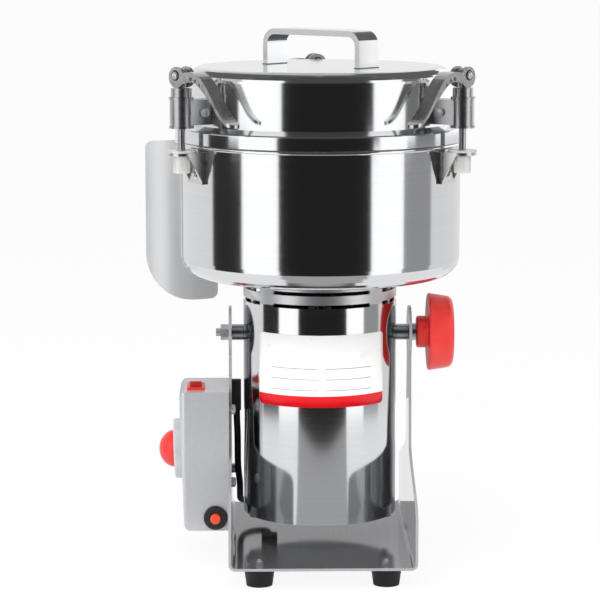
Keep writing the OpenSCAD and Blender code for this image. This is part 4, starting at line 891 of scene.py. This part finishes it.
FLOOR_R = 14.0
FLOOR_WHITE_SHARE = 0.9
ROOM_LIGHT = 0.78
LAMP_SIZE = 0.7
LAMP_AIM = (0.0, 0.0, 0.2)

# Name, place and watts of each lamp
LAMPS = (
    ("top_lamp", (-0.3, -0.5, 1.5), 7.0),
    ("front_lamp", (-0.5, -1.7, 0.9), 10.0),
)

# Wall of cards round the object: its radius, the heights where cards meet, and the roof over it
WALL_R = 0.62
BACK_FOOT_Z = 0.25
LOW_Z = 0.275
LID_Z = 0.335
FLAG_Z = 0.45
SIDE_Z = 0.6
FRONT_Z = 0.8
ROOF = ((0.5, 1.15), (0.25, 1.35), (0.0, 1.4))
SIDE_RISE = ((0.58, 0.9), (0.45, 1.2))
BACK_RIDGE = (0.3, 1.3)

# Cards: degrees between their rows of points, the softboxes' strength, and the least that lights the object
CARD_STEP = 4.0
SOFTBOX = 1.42
CARD_LIGHTS_ABOVE = 0.5

# Cards on the floor in front: place, near and far edges, the bow between them and their strengths
FLOOR_CARD_Z = 0.0005
FLOOR_CARD_R = (0.09, WALL_R)
FLOOR_SHADE_R = 0.48
FLOOR_CARD_STEPS = 24
FLOOR_GREY = 0.45
FLOOR_DARK = 0.03

# Where cards meet, in degrees from the camera's side to the right: the high ones show in the lid
CAMERA_SIDE = math.degrees(math.atan2(CAMERA_PLACE[0], -CAMERA_PLACE[1]))
LEFT_FLAG_END = -90.5
LEFT_HIGH_BOX_END = -69.8
LEFT_BOX_END = -61.1
FLAG_LEFT = -30.8
FLAG_RIGHT = 38.6
HIGH_FLAG_RIGHT = 43.4
RIGHT_BOX_END = 66.2
RIGHT_HIGH_BOX_END = 73.5
RIGHT_GREY_END = 95.0
BACK_RIGHT = 160.0
BACK_LEFT = 215.0
FULL_TURN = 360.0


def wall(low, high):
    """Profile of an upright card, as radius and height."""
    return (WALL_R, low), (WALL_R, high)


# Profiles of the cards: the bowl shows the low wall, the lid and the handle what is above it
LOW_WALL = wall(0.0, LOW_Z)
LID_WALL = wall(LOW_Z, LID_Z)
HANDLE_WALL = wall(LID_Z, SIDE_Z)
SIDE_WALL = wall(LOW_Z, SIDE_Z)
FLAG_WALL = wall(LOW_Z, FLAG_Z)
FRONT_WALL = wall(LOW_Z, FRONT_Z)
BACK_FOOT = wall(0.0, BACK_FOOT_Z)
BACK_WALL = wall(BACK_FOOT_Z, FRONT_Z)
FLAG_ROOF = wall(FLAG_Z, FRONT_Z) + ROOF
FRONT_ROOF = ((WALL_R, FRONT_Z), *ROOF)
SIDE_ROOF = ((WALL_R, SIDE_Z), *SIDE_RISE, *ROOF[1:])
BACK_RISE = ((WALL_R, FRONT_Z), ROOF[0], BACK_RIDGE)
BACK_ROOF = (BACK_RIDGE, ROOF[-1])

# Name, start, end, strength and profile of each card
CARDS = (
    ("front_flag", FLAG_LEFT, FLAG_RIGHT, 0.018, LOW_WALL),
    ("front_high_flag", FLAG_LEFT, HIGH_FLAG_RIGHT, 0.018, FLAG_WALL),
    ("front_roof", FLAG_LEFT, HIGH_FLAG_RIGHT, 0.08, FLAG_ROOF),
    ("right_softbox", FLAG_RIGHT, RIGHT_BOX_END, SOFTBOX, LOW_WALL),
    ("right_high_softbox", HIGH_FLAG_RIGHT, RIGHT_HIGH_BOX_END, SOFTBOX, FRONT_WALL),
    ("left_softbox", LEFT_BOX_END, FLAG_LEFT, SOFTBOX, LOW_WALL),
    ("left_high_softbox", LEFT_HIGH_BOX_END, FLAG_LEFT, SOFTBOX, FRONT_WALL),
    ("left_flag", LEFT_FLAG_END, LEFT_BOX_END, 0.03, LOW_WALL),
    ("left_lid_flag", LEFT_FLAG_END, LEFT_HIGH_BOX_END, 0.05, LID_WALL),
    ("left_handle_card", LEFT_FLAG_END, LEFT_HIGH_BOX_END, 0.75, HANDLE_WALL),
    ("right_grey", RIGHT_BOX_END, RIGHT_GREY_END, 0.36, LOW_WALL),
    ("right_high_grey", RIGHT_HIGH_BOX_END, RIGHT_GREY_END, 0.2, SIDE_WALL),
    ("right_card", RIGHT_GREY_END, BACK_RIGHT, 0.85, LOW_WALL),
    ("right_high_card", RIGHT_GREY_END, BACK_RIGHT, 1.35, SIDE_WALL),
    ("back_foot_card", BACK_RIGHT, BACK_LEFT, 0.48, BACK_FOOT),
    ("back_card", BACK_RIGHT, BACK_LEFT, 0.9, BACK_WALL),
    ("left_card", BACK_LEFT, LEFT_FLAG_END + FULL_TURN, 0.9, LOW_WALL),
    ("left_high_card", BACK_LEFT, LEFT_FLAG_END + FULL_TURN, 0.9, SIDE_WALL),
    ("right_roof", HIGH_FLAG_RIGHT, RIGHT_HIGH_BOX_END, 0.1, FRONT_ROOF),
    ("left_roof", LEFT_HIGH_BOX_END, FLAG_LEFT, 0.1, FRONT_ROOF),
    ("right_side_roof", RIGHT_HIGH_BOX_END, BACK_RIGHT, 0.14, SIDE_ROOF),
    ("left_side_roof", BACK_LEFT, LEFT_HIGH_BOX_END + FULL_TURN, 0.14, SIDE_ROOF),
    ("back_rise", BACK_RIGHT, BACK_LEFT, 0.6, BACK_RISE),
    ("back_roof", BACK_RIGHT, BACK_LEFT, 0.3, BACK_ROOF),
)


def glow(name, strength):
    """Material of a card that gives off plain white light."""
    material, tree, output = new_material(name)
    light = add(tree, "ShaderNodeEmission", {"Color": (1.0, 1.0, 1.0, 1.0), "Strength": strength})
    tree.links.new(light.outputs["Emission"], output.inputs["Surface"])
    return material


def place_card(name, shape, strength):
    """Stages a card that shows only in reflections; a bright one lights the object, and none shades it."""
    card = shape_object(name, shape, glow(name, strength))
    card.visible_camera = False
    card.visible_shadow = False
    card.visible_diffuse = strength > CARD_LIGHTS_ABOVE


def make_card(name, start, end, strength, profile):
    """Curved card round the object, along a profile of radius and height.

    Its angles run from the camera's side to the right.
    """
    shape = bmesh.new()
    steps = max(2, int((end - start) / CARD_STEP))
    rows = []
    for i in range(steps + 1):
        turn = math.radians(CAMERA_SIDE + start + (end - start) * i / steps)
        rows.append([shape.verts.new((r * math.sin(turn), -r * math.cos(turn), z)) for r, z in profile])
    span_rows(shape, rows)
    place_card(name, shape, strength)


def make_floor_cards():
    """Grey card in front of the object, and a dark one beyond it whose near edge bows inwards."""
    grey = bmesh.new()
    dark = bmesh.new()
    grey_rows = []
    dark_rows = []
    near, far = FLOOR_CARD_R
    for i in range(FLOOR_CARD_STEPS + 1):
        share = i / FLOOR_CARD_STEPS
        turn = math.radians(CAMERA_SIDE + FLAG_LEFT + (FLAG_RIGHT - FLAG_LEFT) * share)
        edge = FLOOR_SHADE_R + (far - FLOOR_SHADE_R) * (2.0 * share - 1.0) ** 2
        for shape, rows, ends in ((grey, grey_rows, (near, edge)), (dark, dark_rows, (edge, far))):
            rows.append([
                shape.verts.new((r * math.sin(turn), -r * math.cos(turn), FLOOR_CARD_Z)) for r in ends])
    span_rows(grey, grey_rows)
    span_rows(dark, dark_rows)
    place_card("front_floor_grey", grey, FLOOR_GREY)
    place_card("front_floor_dark", dark, FLOOR_DARK)


def seen_share(tree):
    """1 where a ray comes from the camera, or from it by a mirror or through glass."""
    path = add(tree, "ShaderNodeLightPath")
    seen = path.outputs["Is Camera Ray"]
    for name in ("Is Glossy Ray", "Is Transmission Ray"):
        seen = add(tree, "ShaderNodeMath", {0: seen, 1: path.outputs[name]}, operation="MAXIMUM").outputs[0]
    return seen


def make_floor():
    """Pale floor that stays white to the camera and in the steel, and keeps the object's shadow."""
    material, tree, output = new_material("pale_studio_floor")
    paint = add(tree, "ShaderNodeBsdfDiffuse", {"Color": linear("#F4F4F4")})
    white = add(tree, "ShaderNodeEmission", {"Color": (1.0, 1.0, 1.0, 1.0), "Strength": 1.0})
    share = add(tree, "ShaderNodeMath", {0: seen_share(tree), 1: FLOOR_WHITE_SHARE}, operation="MULTIPLY")
    mix = add(tree, "ShaderNodeMixShader", {0: share.outputs[0], 1: paint.outputs[0], 2: white.outputs[0]})
    tree.links.new(mix.outputs[0], output.inputs["Surface"])
    shape = bmesh.new()
    bmesh.ops.create_circle(shape, cap_ends=True, segments=64, radius=FLOOR_R)
    shape_object("studio_floor", shape, material)


def make_lamp(name, place, power):
    """Square soft lamp turned to the object, which mirrors don't show."""
    light = bpy.data.lights.new(name, "AREA")
    light.shape = "SQUARE"
    light.size = LAMP_SIZE
    light.energy = power
    lamp = bpy.data.objects.new(name, light)
    turn = (Vector(LAMP_AIM) - Vector(place)).to_track_quat("-Z", "Y")
    lamp.matrix_world = Matrix.Translation(place) @ turn.to_matrix().to_4x4()
    lamp.visible_glossy = False
    scene.collection.objects.link(lamp)


def make_camera():
    """Camera at the photograph's place, with its angle of view."""
    data = bpy.data.cameras.new("photo_camera")
    data.sensor_width = SENSOR_MM
    data.lens = SENSOR_MM * FOCAL_PX / IMAGE_PX
    data.clip_end = 100.0
    camera = bpy.data.objects.new("photo_camera", data)
    camera.location = CAMERA_PLACE
    camera.rotation_euler = (math.radians(90.0 - CAMERA_PITCH), 0.0, math.radians(CAMERA_YAW))
    scene.collection.objects.link(camera)
    scene.camera = camera


def make_world():
    """White surroundings, a little dimmer as light than as background."""
    world = bpy.data.worlds.new("white_room")
    world.use_nodes = True
    tree = world.node_tree
    strength = add(tree, "ShaderNodeMapRange", {
        "Value": seen_share(tree), "To Min": ROOM_LIGHT, "To Max": 1.0})
    background = tree.nodes["Background"]
    background.inputs["Color"].default_value = (1.0, 1.0, 1.0, 1.0)
    tree.links.new(strength.outputs["Result"], background.inputs["Strength"])
    scene.world = world


for card in CARDS:
    make_card(*card)
make_floor_cards()
make_floor()
for lamp in LAMPS:
    make_lamp(*lamp)
make_camera()
make_world()
